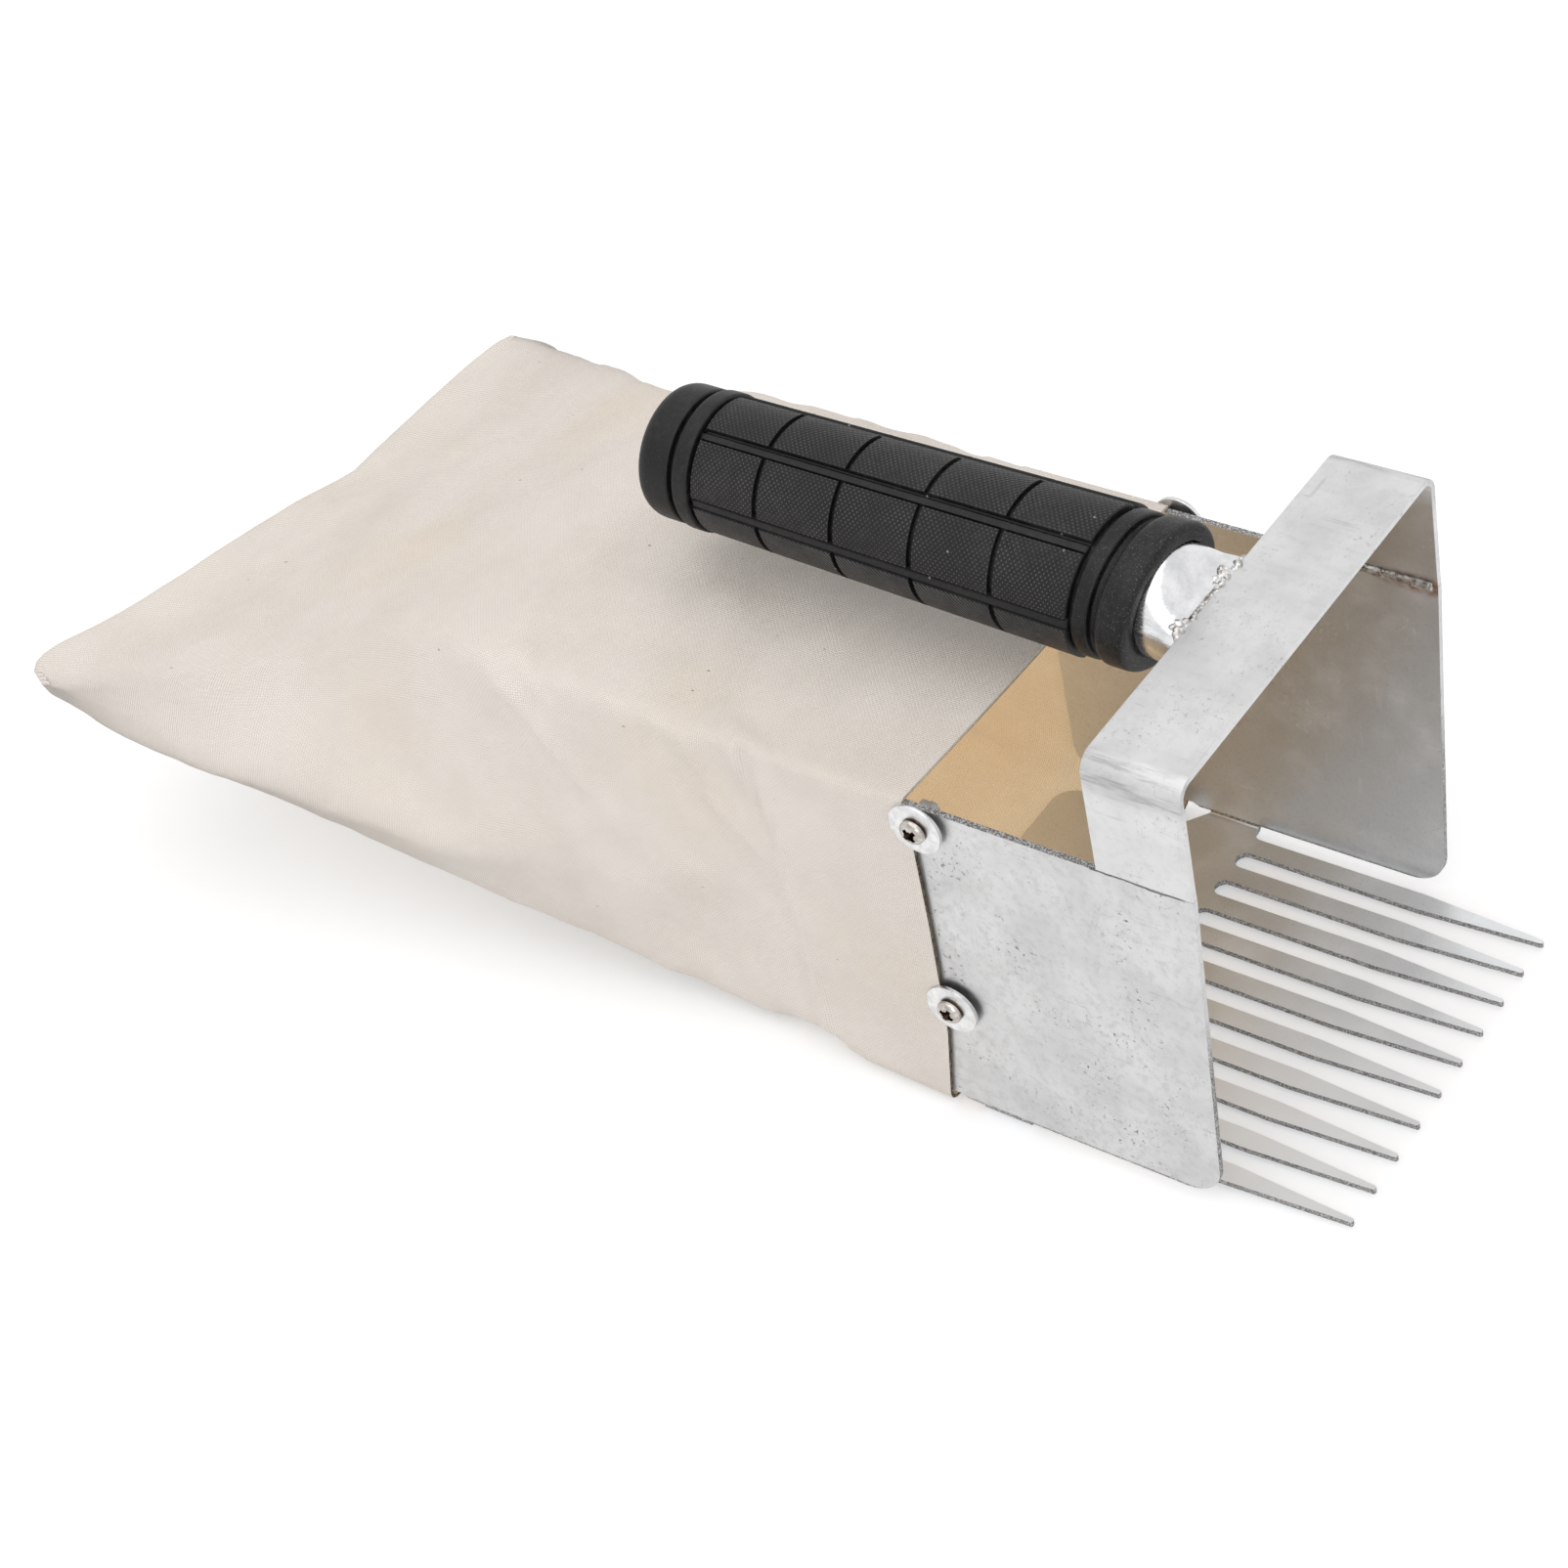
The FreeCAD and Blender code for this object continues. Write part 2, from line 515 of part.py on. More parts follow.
def rubber_grip():
    """A moulded rubber sleeve, closed at its rear, with rings at its ends and rows of pads."""
    body = new_body("rubber_grip")
    # Each stretch of the sleeve's outside: its width, and its radius at its front and its rear.
    body_length = ("(sizes.grip_length - sizes.front_lip_width - sizes.front_groove_width"
                   " - 2 * sizes.ring_width - 2 * sizes.crease_width"
                   " - sizes.rear_groove_width - sizes.rear_lip_width)")
    stretches = [
        ("sizes.front_lip_width", "sizes.front_lip", "sizes.front_lip"),
        ("sizes.front_groove_width", "sizes.front_groove", "sizes.front_groove"),
        ("sizes.ring_width", "sizes.front_ring", "sizes.front_ring"),
        ("sizes.crease_width", "sizes.front_crease", "sizes.front_crease"),
        (body_length, "sizes.front_body", "sizes.rear_body"),
        ("sizes.crease_width", "sizes.rear_crease", "sizes.rear_crease"),
        ("sizes.ring_width", "sizes.rear_ring", "sizes.rear_ring"),
        ("sizes.rear_groove_width", "sizes.rear_groove", "sizes.rear_groove"),
        ("sizes.rear_lip_width", "sizes.rear_lip", "sizes.rear_lip"),
    ]
    bore = "sizes.tube_outer / 2 + sizes.grip_ease"
    along = "sizes.grip_start"
    corners = [(along, bore)]
    for width, front_radius, rear_radius in stretches:
        corners.append((along, front_radius))
        if width == body_length:
            body_start = along
        along = f"{along} + {width}"
        corners.append((along, rear_radius))
    corners += [(along, "0"), (TUBE_LENGTH, "0"), (TUBE_LENGTH, bore)]
    profile = sketch_on(body, "YZ_Plane", "sleeve_outline")
    outline(profile, corners)
    revolve(body, "sleeve", profile)

    front = size("grip_start")
    lip_rear = front + size("front_lip_width")
    end = front + size("grip_length")
    chamfer(body, "lip_edges", "sizes.lip_bevel",
            lambda p, edge: is_ring(edge, front, size("front_lip"))
            or is_ring(edge, lip_rear, size("front_lip")))
    chamfer(body, "end_edge", "sizes.end_bevel",
            lambda p, edge: is_ring(edge, end, size("rear_lip")))

    def strip_sketch(name, turn):
        """A sketch through the grip's axis, turned from the top towards its left side."""
        sketch = sketch_on(body, "YZ_Plane", name)
        turned = FreeCAD.Rotation(-X_AXIS, 1)
        sketch.AttachmentOffset = FreeCAD.Placement(FreeCAD.Vector(), turned)
        sketch.setExpression("AttachmentOffset.Rotation.Angle", turn)
        return sketch

    strips = strip_sketch("strip_outline", "sizes.strip_turn")
    body_end = f"{body_start} + {body_length}"
    clear = "sizes.front_body + sizes.overrun"
    outline(strips, [
        (body_start, "sizes.front_body - sizes.strip_depth"), (body_start, clear),
        (body_end, clear), (body_end, "sizes.rear_body - sizes.strip_depth"),
    ])
    strip = groove(body, "strip", strips, "sizes.strip_angle")

    gaps = strip_sketch("pad_gap_outline", "sizes.strip_turn + 180 / sizes.pad_rows")
    for number in range(int(size("pads")) - 1):
        behind = (f"(sizes.first_pad + {number} * ({body_length} - sizes.first_pad)"
                  " / (sizes.pads - 1))")
        radius = f"(sizes.front_body - (sizes.front_body - sizes.rear_body) * {behind} / {body_length})"
        gap_start = f"{body_start} + {behind}"
        gap_end = f"{gap_start} + sizes.pad_gap"
        outline(gaps, [
            (gap_start, f"{radius} - sizes.pad_depth"), (gap_start, clear), (gap_end, clear),
            (gap_end, f"{radius} - sizes.pad_depth"),
        ])
    gap = groove(body, "pad_gaps", gaps, "360 / sizes.pad_rows - sizes.strip_angle")

    rows = body.newObject("PartDesign::PolarPattern", "rows")
    rows.Originals = [strip, gap]
    rows.Axis = (origin_feature(body, "Y_Axis"), [""])
    rows.Angle = 360
    rows.setExpression("Occurrences", "sizes.pad_rows")
    body.Tip = rows
    place_on_handle(body)
    return body


# The bag's sections behind the walls, from the tray's box to the flat seam. The shares are: the
# way from the walls' rear edge to the seam, the way from the tray's half width to the seam's,
# the way of the underside and of the top to the seam's, and the corner's cut of the half height.
BAG_SHARES = [
    (0.24, 0.0, 0.07, 0.0, 0.06),
    (0.41, 0.05, 0.25, 0.02, 0.15),
    (0.65, 0.54, 0.61, 0.40, 0.34),
    (0.84, 0.87, 0.82, 0.77, 0.52),
    (1.0, 1.0, 1.0, 1.0, 0.6),
]


def bag_section(name, along, half, low, high, cut, inset):
    """A rectangle with cut corners across the tool, drawn in by an inset on every side."""
    sketch = doc.addObject("Sketcher::SketchObject", name)
    sketch.Placement = FreeCAD.Placement(FreeCAD.Vector(), FreeCAD.Rotation(X_AXIS, 90))
    sketch.setExpression("Placement.Base.y", along)
    corner = f"({cut} - (2 - sqrt(2)) * {inset})"
    half = f"({half} - {inset})"
    low = f"({low} + {inset})"
    high = f"({high} - {inset})"
    outline(sketch, [
        (f"-{half} + {corner}", low), (f"{half} - {corner}", low), (half, f"{low} + {corner}"),
        (half, f"{high} - {corner}"), (f"{half} - {corner}", high),
        (f"-{half} + {corner}", high), (f"-{half}", f"{high} - {corner}"),
        (f"-{half}", f"{low} + {corner}"),
    ])
    return sketch


def bag_skin(name, first, reaches_seam, inset):
    """A solid over the bag's sections, from its first place to the seam, drawn in by an inset."""
    half = f"({HALF_WIDTH} + {CANVAS_OUT})"
    end_half = "(sizes.bag_end_width / 2)"
    top = f"(sizes.wall_height + {CANVAS_OUT})"
    end_low = "(sizes.bag_end_height - sizes.bag_end_thick / 2)"
    end_top = "(sizes.bag_end_height + sizes.bag_end_thick / 2)"
    sections = []
    for number, along in enumerate([first, "sizes.wall_length"]):
        sections.append(bag_section(f"{name}_sleeve_{number}", along, half,
                                    f"-{CANVAS_OUT}", top, "sizes.canvas_corner", inset))
    free = "(sizes.bag_reach - sizes.seam_width - sizes.wall_length)"
    for number, (way, spread, rise, drop, cut) in enumerate(BAG_SHARES):
        low = f"({rise} * {end_low} - (1 - {rise}) * {CANVAS_OUT})"
        high = f"({top} - {drop} * ({top} - {end_top}))"
        sections.append(bag_section(
            f"{name}_section_{number}", f"sizes.wall_length + {way} * {free}",
            f"({half} + {spread} * ({end_half} - {half}))", low, high,
            f"({cut} * ({high} - {low}) / 2)", inset))
    if reaches_seam:
        seam_cut = f"({BAG_SHARES[-1][-1]} * sizes.bag_end_thick / 2)"
        sections.append(bag_section(f"{name}_seam", "sizes.bag_reach", end_half, end_low,
                                    end_top, seam_cut, inset))
    skin = doc.addObject("Part::Loft", name)
    skin.Sections = sections
    skin.Solid = True
    skin.Ruled = True
    skin.Linearize = True
    return skin


def canvas_bag():
    """A canvas tube pulled over the tray's rear, whose free end is sewn flat."""
    outer = bag_skin("outer_skin", "sizes.bag_front", True, "0")
    inner = bag_skin("inner_skin", "sizes.bag_front - sizes.overrun", False, "sizes.canvas")
    shell = doc.addObject("Part::Cut", "bag_shell")
    shell.Base = outer
    shell.Tool = inner
    doc.recompute()
    must_cut(outer, shell)
    body = new_body("canvas_bag")
    body.BaseFeature = shell
    doc.recompute()
    screw_holes(body, SHANK_HOLE)
    place(body)
    return body


def ring(name, outer, inner, thickness):
    """A flat ring across the X axis, as thick as given, from the origin towards +X."""
    body = new_body(name)
    section = sketch_on(body, "YZ_Plane", f"{name}_section")
    circle(section, "0", "0", outer)
    circle(section, "0", "0", inner)
    pad(body, f"{name}_pad", section, thickness)
    return body


def screw_model():
    """A pan-head screw with a cross recess, its head towards +X and its shank towards -X."""
    body = new_body("screw_model")
    shank = sketch_on(body, "YZ_Plane", "shank_section")
    circle(shank, "0", "0", "sizes.screw_outer / 2")
    pad(body, "shank", shank, "sizes.screw_length", backwards=True)
    head = sketch_on(body, "YZ_Plane", "head_section")
    circle(head, "0", "0", "sizes.head_outer / 2")
    pad(body, "head", head, "sizes.head_height")
    chamfer(body, "head_edge", "sizes.head_bevel",
            lambda p, edge: edge.Curve.TypeId == "Part::GeomCircle"
            and near(p.x, size("head_height")))
    recess = sketch_on(body, "YZ_Plane", "recess_outline", "sizes.head_height")
    span = "sizes.recess_span / 2"
    arm = "sizes.recess_arm / 2"
    outline(recess, [
        (f"-{arm}", f"-{span}"), (arm, f"-{span}"), (arm, f"-{arm}"), (span, f"-{arm}"),
        (span, arm), (arm, arm), (arm, span), (f"-{arm}", span), (f"-{arm}", arm),
        (f"-{span}", arm), (f"-{span}", f"-{arm}"), (f"-{arm}", f"-{arm}"),
    ])
    pocket(body, "recess", recess, "sizes.recess_depth")
    return body


def nut_model():
    """A plain hexagon nut across the X axis, from the origin towards +X."""
    body = new_body("nut_model")
    section = sketch_on(body, "YZ_Plane", "nut_section")
    corners = []
    for turn in range(0, 360, 60):
        radius = "sizes.nut_flats / 2 / cos(30)"
        corners.append((f"{radius} * cos({turn})", f"{radius} * sin({turn})"))
    outline(section, corners)
    circle(section, "0", "0", "sizes.screw_outer / 2 + sizes.nut_ease")
    pad(body, "nut", section, "sizes.nut_height")
    return body


def fastener_pair(node, model, side, out):
    """The upper and lower fastener of one wall, as two copies of a model in one node."""
    copies = []
    for place_name, (behind, height) in zip(["upper", "lower"], SCREWS):
        copy = doc.addObject("App::Link", f"{node}_{place_name}")
        copy.LinkedObject = model
        outward = FreeCAD.Rotation(Z_AXIS, 90 - side * 90)
        copy.Placement = FreeCAD.Placement(FreeCAD.Vector(), outward)
        copy.LinkTransform = False
        place(copy, behind, height, f"{side} * ({out})")
        copies.append(copy)
    pair = doc.addObject("Part::Compound", node)
    pair.Links = copies
    return pair


def fasteners():
    """What clamps the canvas to the walls: screw, outer washer, inner washer and nut, twice a side."""
    washer_out = f"{HALF_WIDTH} + {CANVAS_OUT}"
    inner_out = f"{HALF_WIDTH} - sizes.sheet - sizes.inner_washer_thick"
    models = [
        ("outer_washers", ring("washer_model", "sizes.washer_outer / 2", SHANK_HOLE,
                               "sizes.washer_thick"), washer_out),
        ("bag_screws", screw_model(), f"{washer_out} + sizes.washer_thick"),
        ("inner_washers", ring("inner_washer_model", "sizes.inner_washer_outer / 2", SHANK_HOLE,
                               "sizes.inner_washer_thick"), inner_out),
        ("hex_nuts", nut_model(), f"{inner_out} - sizes.nut_height"),
    ]
    pairs = []
    for side_name, side in SIDES:
        for name, model, out in models:
            pairs.append(fastener_pair(f"{name}_{side_name}", model, side, out))
    return pairs


tray = scoop_tray()
strap = bridge_strap()
tube = handle_tube()
parts = [tray, strap, tube, rubber_grip(), canvas_bag(), handle_weld(tube, strap)]
parts += [strap_weld(side_name, side) for side_name, side in SIDES]
parts += fasteners()
doc.recompute()

# Nothing is written unless every object of the document was made and every piece is sound.
for thing in doc.Objects:
    if "Invalid" in thing.State or "Error" in thing.State:
        raise RuntimeError(f"{thing.Name} was not made: {thing.State}")
for part in parts:
    if part.Shape.isNull() or not part.Shape.isValid():
        raise RuntimeError(f"{part.Label} is not a sound shape")
for part in parts:
    part.Shape.exportStep(f"parts/{part.Label}.step")
    box = part.Shape.BoundBox
    print(f"{part.Label}: {len(part.Shape.Solids)} solid(s), {part.Shape.Volume:.1f} mm3,",
          f"{box.XLength:.1f} x {box.YLength:.1f} x {box.ZLength:.1f} mm")
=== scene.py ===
import math
import random

import bmesh
import bpy
from mathutils import Matrix, Vector, noise


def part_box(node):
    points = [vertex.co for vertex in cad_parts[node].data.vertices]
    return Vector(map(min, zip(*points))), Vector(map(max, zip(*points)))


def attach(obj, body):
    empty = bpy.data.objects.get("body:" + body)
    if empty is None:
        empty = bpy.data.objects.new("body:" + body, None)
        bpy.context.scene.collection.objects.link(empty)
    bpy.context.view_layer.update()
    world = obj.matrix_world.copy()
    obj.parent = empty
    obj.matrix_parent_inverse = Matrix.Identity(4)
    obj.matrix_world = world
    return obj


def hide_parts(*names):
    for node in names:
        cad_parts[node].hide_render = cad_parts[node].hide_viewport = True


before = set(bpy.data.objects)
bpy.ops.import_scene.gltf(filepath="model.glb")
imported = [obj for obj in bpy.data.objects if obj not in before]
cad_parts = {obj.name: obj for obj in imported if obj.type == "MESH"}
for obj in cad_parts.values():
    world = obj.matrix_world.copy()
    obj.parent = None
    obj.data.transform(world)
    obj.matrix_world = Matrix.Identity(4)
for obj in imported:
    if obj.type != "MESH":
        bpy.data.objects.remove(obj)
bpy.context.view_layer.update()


# The scoop tray: one sheet of aluminium folded into a floor and two walls, with ten teeth cut
# into the floor's front. Its outside is pale and scuffed. Its inside is painted lighter, in tones
# of its own, as painted light against the shade inside the tray, and browned beside the strap's
# far weld. The edges are rough where they were cut.
MM = 0.001
TOOTH_REACH = 27.5 * MM
TRAY_LOW, TRAY_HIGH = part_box("scoop_tray")
WALL_FRONT = TRAY_LOW.y + TOOTH_REACH
EDGE_WEAR = 0.14 * MM


def at(across, along, up):
    """A place in millimetres: across from the middle, back from the walls' front edge, and up
    from the underside of the tray's floor."""
    return Vector((across * MM, WALL_FRONT + along * MM, TRAY_LOW.z + up * MM))


def back(along):
    """The frame's y of a place so many millimetres back."""
    return at(0, along, 0).y


def level(up):
    """The frame's z of a place so many millimetres up."""
    return at(0, 0, up).z


def paint(red, green, blue):
    """A colour as it looks on a screen, from 0 to 255, in the renderer's own terms."""
    shares = [value / 255 for value in (red, green, blue)]
    return (*[s / 12.92 if s <= 0.04045 else ((s + 0.055) / 1.055) ** 2.4 for s in shares], 1.0)


def connect(tree, value, socket):
    """Put another node's output on a socket, or a plain number or colour."""
    if isinstance(value, bpy.types.NodeSocket):
        tree.links.new(value, socket)
    else:
        socket.default_value = value


def add(tree, kind, inputs, **settings):
    """A shader node with its settings, and its inputs by their names or numbers."""
    made = tree.nodes.new(f"ShaderNode{kind}")
    for name, value in settings.items():
        setattr(made, name, value)
    for key, value in inputs.items():
        connect(tree, value, made.inputs[key])
    return made


def sum_of(tree, operation, one, other=0.0, third=0.0):
    """One sum on numbers, kept between 0 and 1 only where it is said."""
    return add(tree, "Math", {0: one, 1: other, 2: third}, operation=operation).outputs[0]


def ease(tree, value, low, high, start=0.0, end=1.0):
    """A number that goes softly from start to end while value goes from low to high."""
    return add(tree, "MapRange", {0: value, 1: low, 2: high, 3: start, 4: end},
               interpolation_type="SMOOTHSTEP").outputs[0]


def mix(tree, share, under, over):
    """Two colours mixed by a share."""
    return add(tree, "Mix", {0: share, 6: under, 7: over}, data_type="RGBA").outputs[2]


def tinted(tree, tone, mask, share, colour):
    """A colour laid over a tone where a mask is 1, up to a share."""
    return mix(tree, sum_of(tree, "MULTIPLY", mask, share), tone, colour)


def grain(tree, place, scale, detail=3.0, roughness=0.5):
    """Soft random variation from 0 to 1, with patches about one over scale metres wide."""
    return add(tree, "TexNoise", {"Vector": place, "Scale": scale, "Detail": detail,
                                  "Roughness": roughness}).outputs[0]


def stretched(tree, place, along, turn=(0.0, 0.0, 0.0)):
    """A place turned, then scaled by the three numbers in along."""
    return add(tree, "Mapping", {"Vector": place, "Rotation": turn, "Scale": along}).outputs[0]


def new_group(name, inputs, outputs):
    """An empty node group, with its named inputs and outputs, ready for its nodes."""
    tree = bpy.data.node_groups.new(name, "ShaderNodeTree")
    for socket_name, kind in inputs:
        tree.interface.new_socket(socket_name, in_out="INPUT", socket_type=kind)
    for socket_name, kind in outputs:
        tree.interface.new_socket(socket_name, in_out="OUTPUT", socket_type=kind)
    return tree, tree.nodes.new("NodeGroupInput"), tree.nodes.new("NodeGroupOutput")


def use_group(tree, group, **inputs):
    """A node group placed in a material, with its own values."""
    made = tree.nodes.new("ShaderNodeGroup")
    made.node_tree = group
    for name, value in inputs.items():
        connect(tree, value, made.inputs[name.replace("_", " ")])
    return made


def new_material(name):
    """A material with its shader, and the place on the object that its patterns follow."""
    material = bpy.data.materials.new(name)
    material.use_nodes = True
    tree = material.node_tree
    place = tree.nodes.new("ShaderNodeTexCoord").outputs["Object"]
    return material, tree, tree.nodes["Principled BSDF"], place


def bumps(tree, shader, height, depth):
    """Turn a height from 0 to 1, depth metres high, into small relief on the shader."""
    relief = add(tree, "Bump", {"Height": height, "Distance": depth})
    tree.links.new(relief.outputs[0], shader.inputs["Normal"])


def spot(tree, place, centre, reach, soft=0.4):
    """1 in an oval round a place, down to 0 at its edge, with its reach along each axis."""
    away = add(tree, "VectorMath", {0: place, 1: centre}, operation="SUBTRACT").outputs[0]
    share = add(tree, "VectorMath", {0: away, 1: reach}, operation="DIVIDE").outputs[0]
    distance = add(tree, "VectorMath", {0: share}, operation="LENGTH").outputs["Value"]
    return ease(tree, distance, 1.0, soft)


def metal_wear_group():
    """What making and handling leave on metal: clouds, blotches, short scratches and fine pits."""
    tree, given, result = new_group(
        "Metal wear",
        [("Place", "NodeSocketVector"), ("Cloud Scale", "NodeSocketFloat"),
         ("Scratch Scale", "NodeSocketFloat"), ("Pit Scale", "NodeSocketFloat")],
        [("Cloud", "NodeSocketFloat"), ("Blotch", "NodeSocketFloat"),
         ("Scratch", "NodeSocketFloat"), ("Pit", "NodeSocketFloat")])
    place = given.outputs["Place"]
    cloud = grain(tree, place, given.outputs["Cloud Scale"], 5.0, 0.6)
    connect(tree, cloud, result.inputs["Cloud"])
    fine_scale = sum_of(tree, "MULTIPLY", given.outputs["Cloud Scale"], 7.0)
    blotch = grain(tree, place, fine_scale, 6.0, 0.75)
    connect(tree, ease(tree, blotch, 0.46, 0.66), result.inputs["Blotch"])
    scratches = 0.0
    for turn, along in [((0.0, 0.0, 0.5), (1.0, 0.03, 1.0)), ((0.9, 0.3, 0.0), (1.0, 1.0, 0.03)),
                        ((0.2, 0.7, 1.1), (0.04, 1.0, 1.0)), ((0.3, 0.0, 0.1), (1.0, 0.05, 1.0))]:
        line = grain(tree, stretched(tree, place, along, turn), given.outputs["Scratch Scale"], 2.0)
        kept = grain(tree, stretched(tree, place, (1.0, 1.0, 1.0), turn), 130.0, 1.0)
        mark = sum_of(tree, "MULTIPLY", ease(tree, line, 0.66, 0.72), ease(tree, kept, 0.52, 0.62))
        scratches = sum_of(tree, "MAXIMUM", scratches, mark)
    connect(tree, scratches, result.inputs["Scratch"])
    speck = ease(tree, grain(tree, place, given.outputs["Pit Scale"], 4.0, 0.75), 0.58, 0.65)
    where = grain(tree, place, sum_of(tree, "MULTIPLY", given.outputs["Pit Scale"], 0.11), 3.0)
    connect(tree, sum_of(tree, "MULTIPLY", speck, ease(tree, where, 0.46, 0.62)),
            result.inputs["Pit"])
    return tree


METAL_WEAR = metal_wear_group()


def between(tree, value, low, high, edge):
    """A mask that is 1 while value lies between low and high, with soft ends."""
    above = ease(tree, value, low - edge, low)
    below = ease(tree, value, high, high + edge, 1.0, 0.0)
    return sum_of(tree, "MULTIPLY", above, below)


def sheet_sides(tree, place):
    """Masks of the faces inside the tray, of the top of its floor, and of the cut edges."""
    x, _, z = add(tree, "SeparateXYZ", {0: place}).outputs
    facing = add(tree, "TexCoord", {}).outputs["Normal"]
    to_x, to_y, to_z = add(tree, "SeparateXYZ", {0: facing}).outputs
    upward = ease(tree, to_z, 0.6, 0.8)
    inward = ease(tree, sum_of(tree, "MULTIPLY", x, to_x), -0.02, -0.04)
    inward = sum_of(tree, "MAXIMUM", inward, ease(tree, to_z, -0.6, -0.8))
    floor_top = sum_of(tree, "MULTIPLY", upward, ease(tree, z, level(6), level(4)))
    inside = sum_of(tree, "MAXIMUM", inward, floor_top)
    upright = ease(tree, sum_of(tree, "ABSOLUTE", to_z), 0.6, 0.4)
    tooth_side = sum_of(tree, "MULTIPLY", upright, ease(tree, z, level(3), level(2.2)))
    rim = sum_of(tree, "MULTIPLY", upward, between(tree, z, level(90), level(96), MM))
    front_edge = sum_of(tree, "MULTIPLY", ease(tree, to_y, -0.5, -0.7),
                        ease(tree, z, level(62), level(40)))
    cut = sum_of(tree, "MAXIMUM", tooth_side, sum_of(tree, "MAXIMUM", front_edge, rim))
    return inside, floor_top, cut


def outside_sheet(tree, place, wear, pale, blotched, pitted, bend):
    """The sheet's outside: pale and scuffed, dark along the strap's joint, dirty at its bends."""
    _, y, z = add(tree, "SeparateXYZ", {0: place}).outputs
    streak = grain(tree, stretched(tree, place, (1.0, 0.12, 1.0)), 420.0, 5.0, 0.65)
    tone = mix(tree, ease(tree, wear.outputs["Cloud"], 0.3, 0.7), pale[0], pale[1])
    tone = mix(tree, ease(tree, streak, 0.52, 0.75, 0.0, 0.16), tone, paint(174, 174, 174))
    tone = tinted(tree, tone, wear.outputs["Blotch"], blotched, paint(176, 176, 176))
    tone = tinted(tree, tone, wear.outputs["Pit"], pitted, paint(104, 102, 100))
    tone = tinted(tree, tone, wear.outputs["Scratch"], 0.2, paint(132, 130, 128))
    wavy = sum_of(tree, "MULTIPLY_ADD", grain(tree, place, 150.0, 3.0), 1.4 * MM, z)
    joint = between(tree, wavy, level(94.45), level(94.75), 0.2 * MM)
    joint = sum_of(tree, "MULTIPLY", joint, ease(tree, grain(tree, place, 300.0), 0.3, 0.5, 0.35, 0.9))
    tone = tinted(tree, tone, joint, between(tree, y, back(-1), back(20), MM), paint(92, 88, 84))
    dirt = grain(tree, stretched(tree, place, (1.0, 0.09, 1.0)), 700.0, 4.0, 0.7)
    return tinted(tree, tone, ease(tree, dirt, 0.46, 0.68, 0.15, 0.65), bend, paint(150, 149, 148))


def inside_sheet(tree, place, wear, painted_inside_tones):
    """The tray's inside: painted lighter than the outside, in tones of its own, as painted light
    against the shade inside the tray; a little darker near the strap's far foot, and burnt beside its
    weld.
    """
    from_foot = add(tree, "VectorMath", {0: place, 1: at(50, 12, 92)}, operation="DISTANCE")
    tone = mix(tree, ease(tree, from_foot.outputs["Value"], 0.035, 0.13), painted_inside_tones[0], painted_inside_tones[1])
    speckle = ease(tree, grain(tree, place, 1500.0, 2.0), 0.45, 0.75, 0.0, 0.3)
    tone = mix(tree, speckle, tone, painted_inside_tones[2])
    tone = mix(tree, ease(tree, wear.outputs["Cloud"], 0.45, 0.8, 0.0, 0.6), tone, painted_inside_tones[3])
    tone = tinted(tree, tone, wear.outputs["Pit"], 0.3, paint(150, 142, 134))
    tone = tinted(tree, tone, wear.outputs["Scratch"], 0.4, paint(236, 236, 236))
    beside = spot(tree, place, at(50.5, 1, 93.4), (4 * MM, 14 * MM, 3.4 * MM))
    burnt = ease(tree, grain(tree, place, 500.0, 3.0), 0.35, 0.6, 0.4, 1.0)
    burnt = sum_of(tree, "MULTIPLY", burnt, beside)
    return tinted(tree, tone, burnt, 0.8, paint(150, 100, 62))


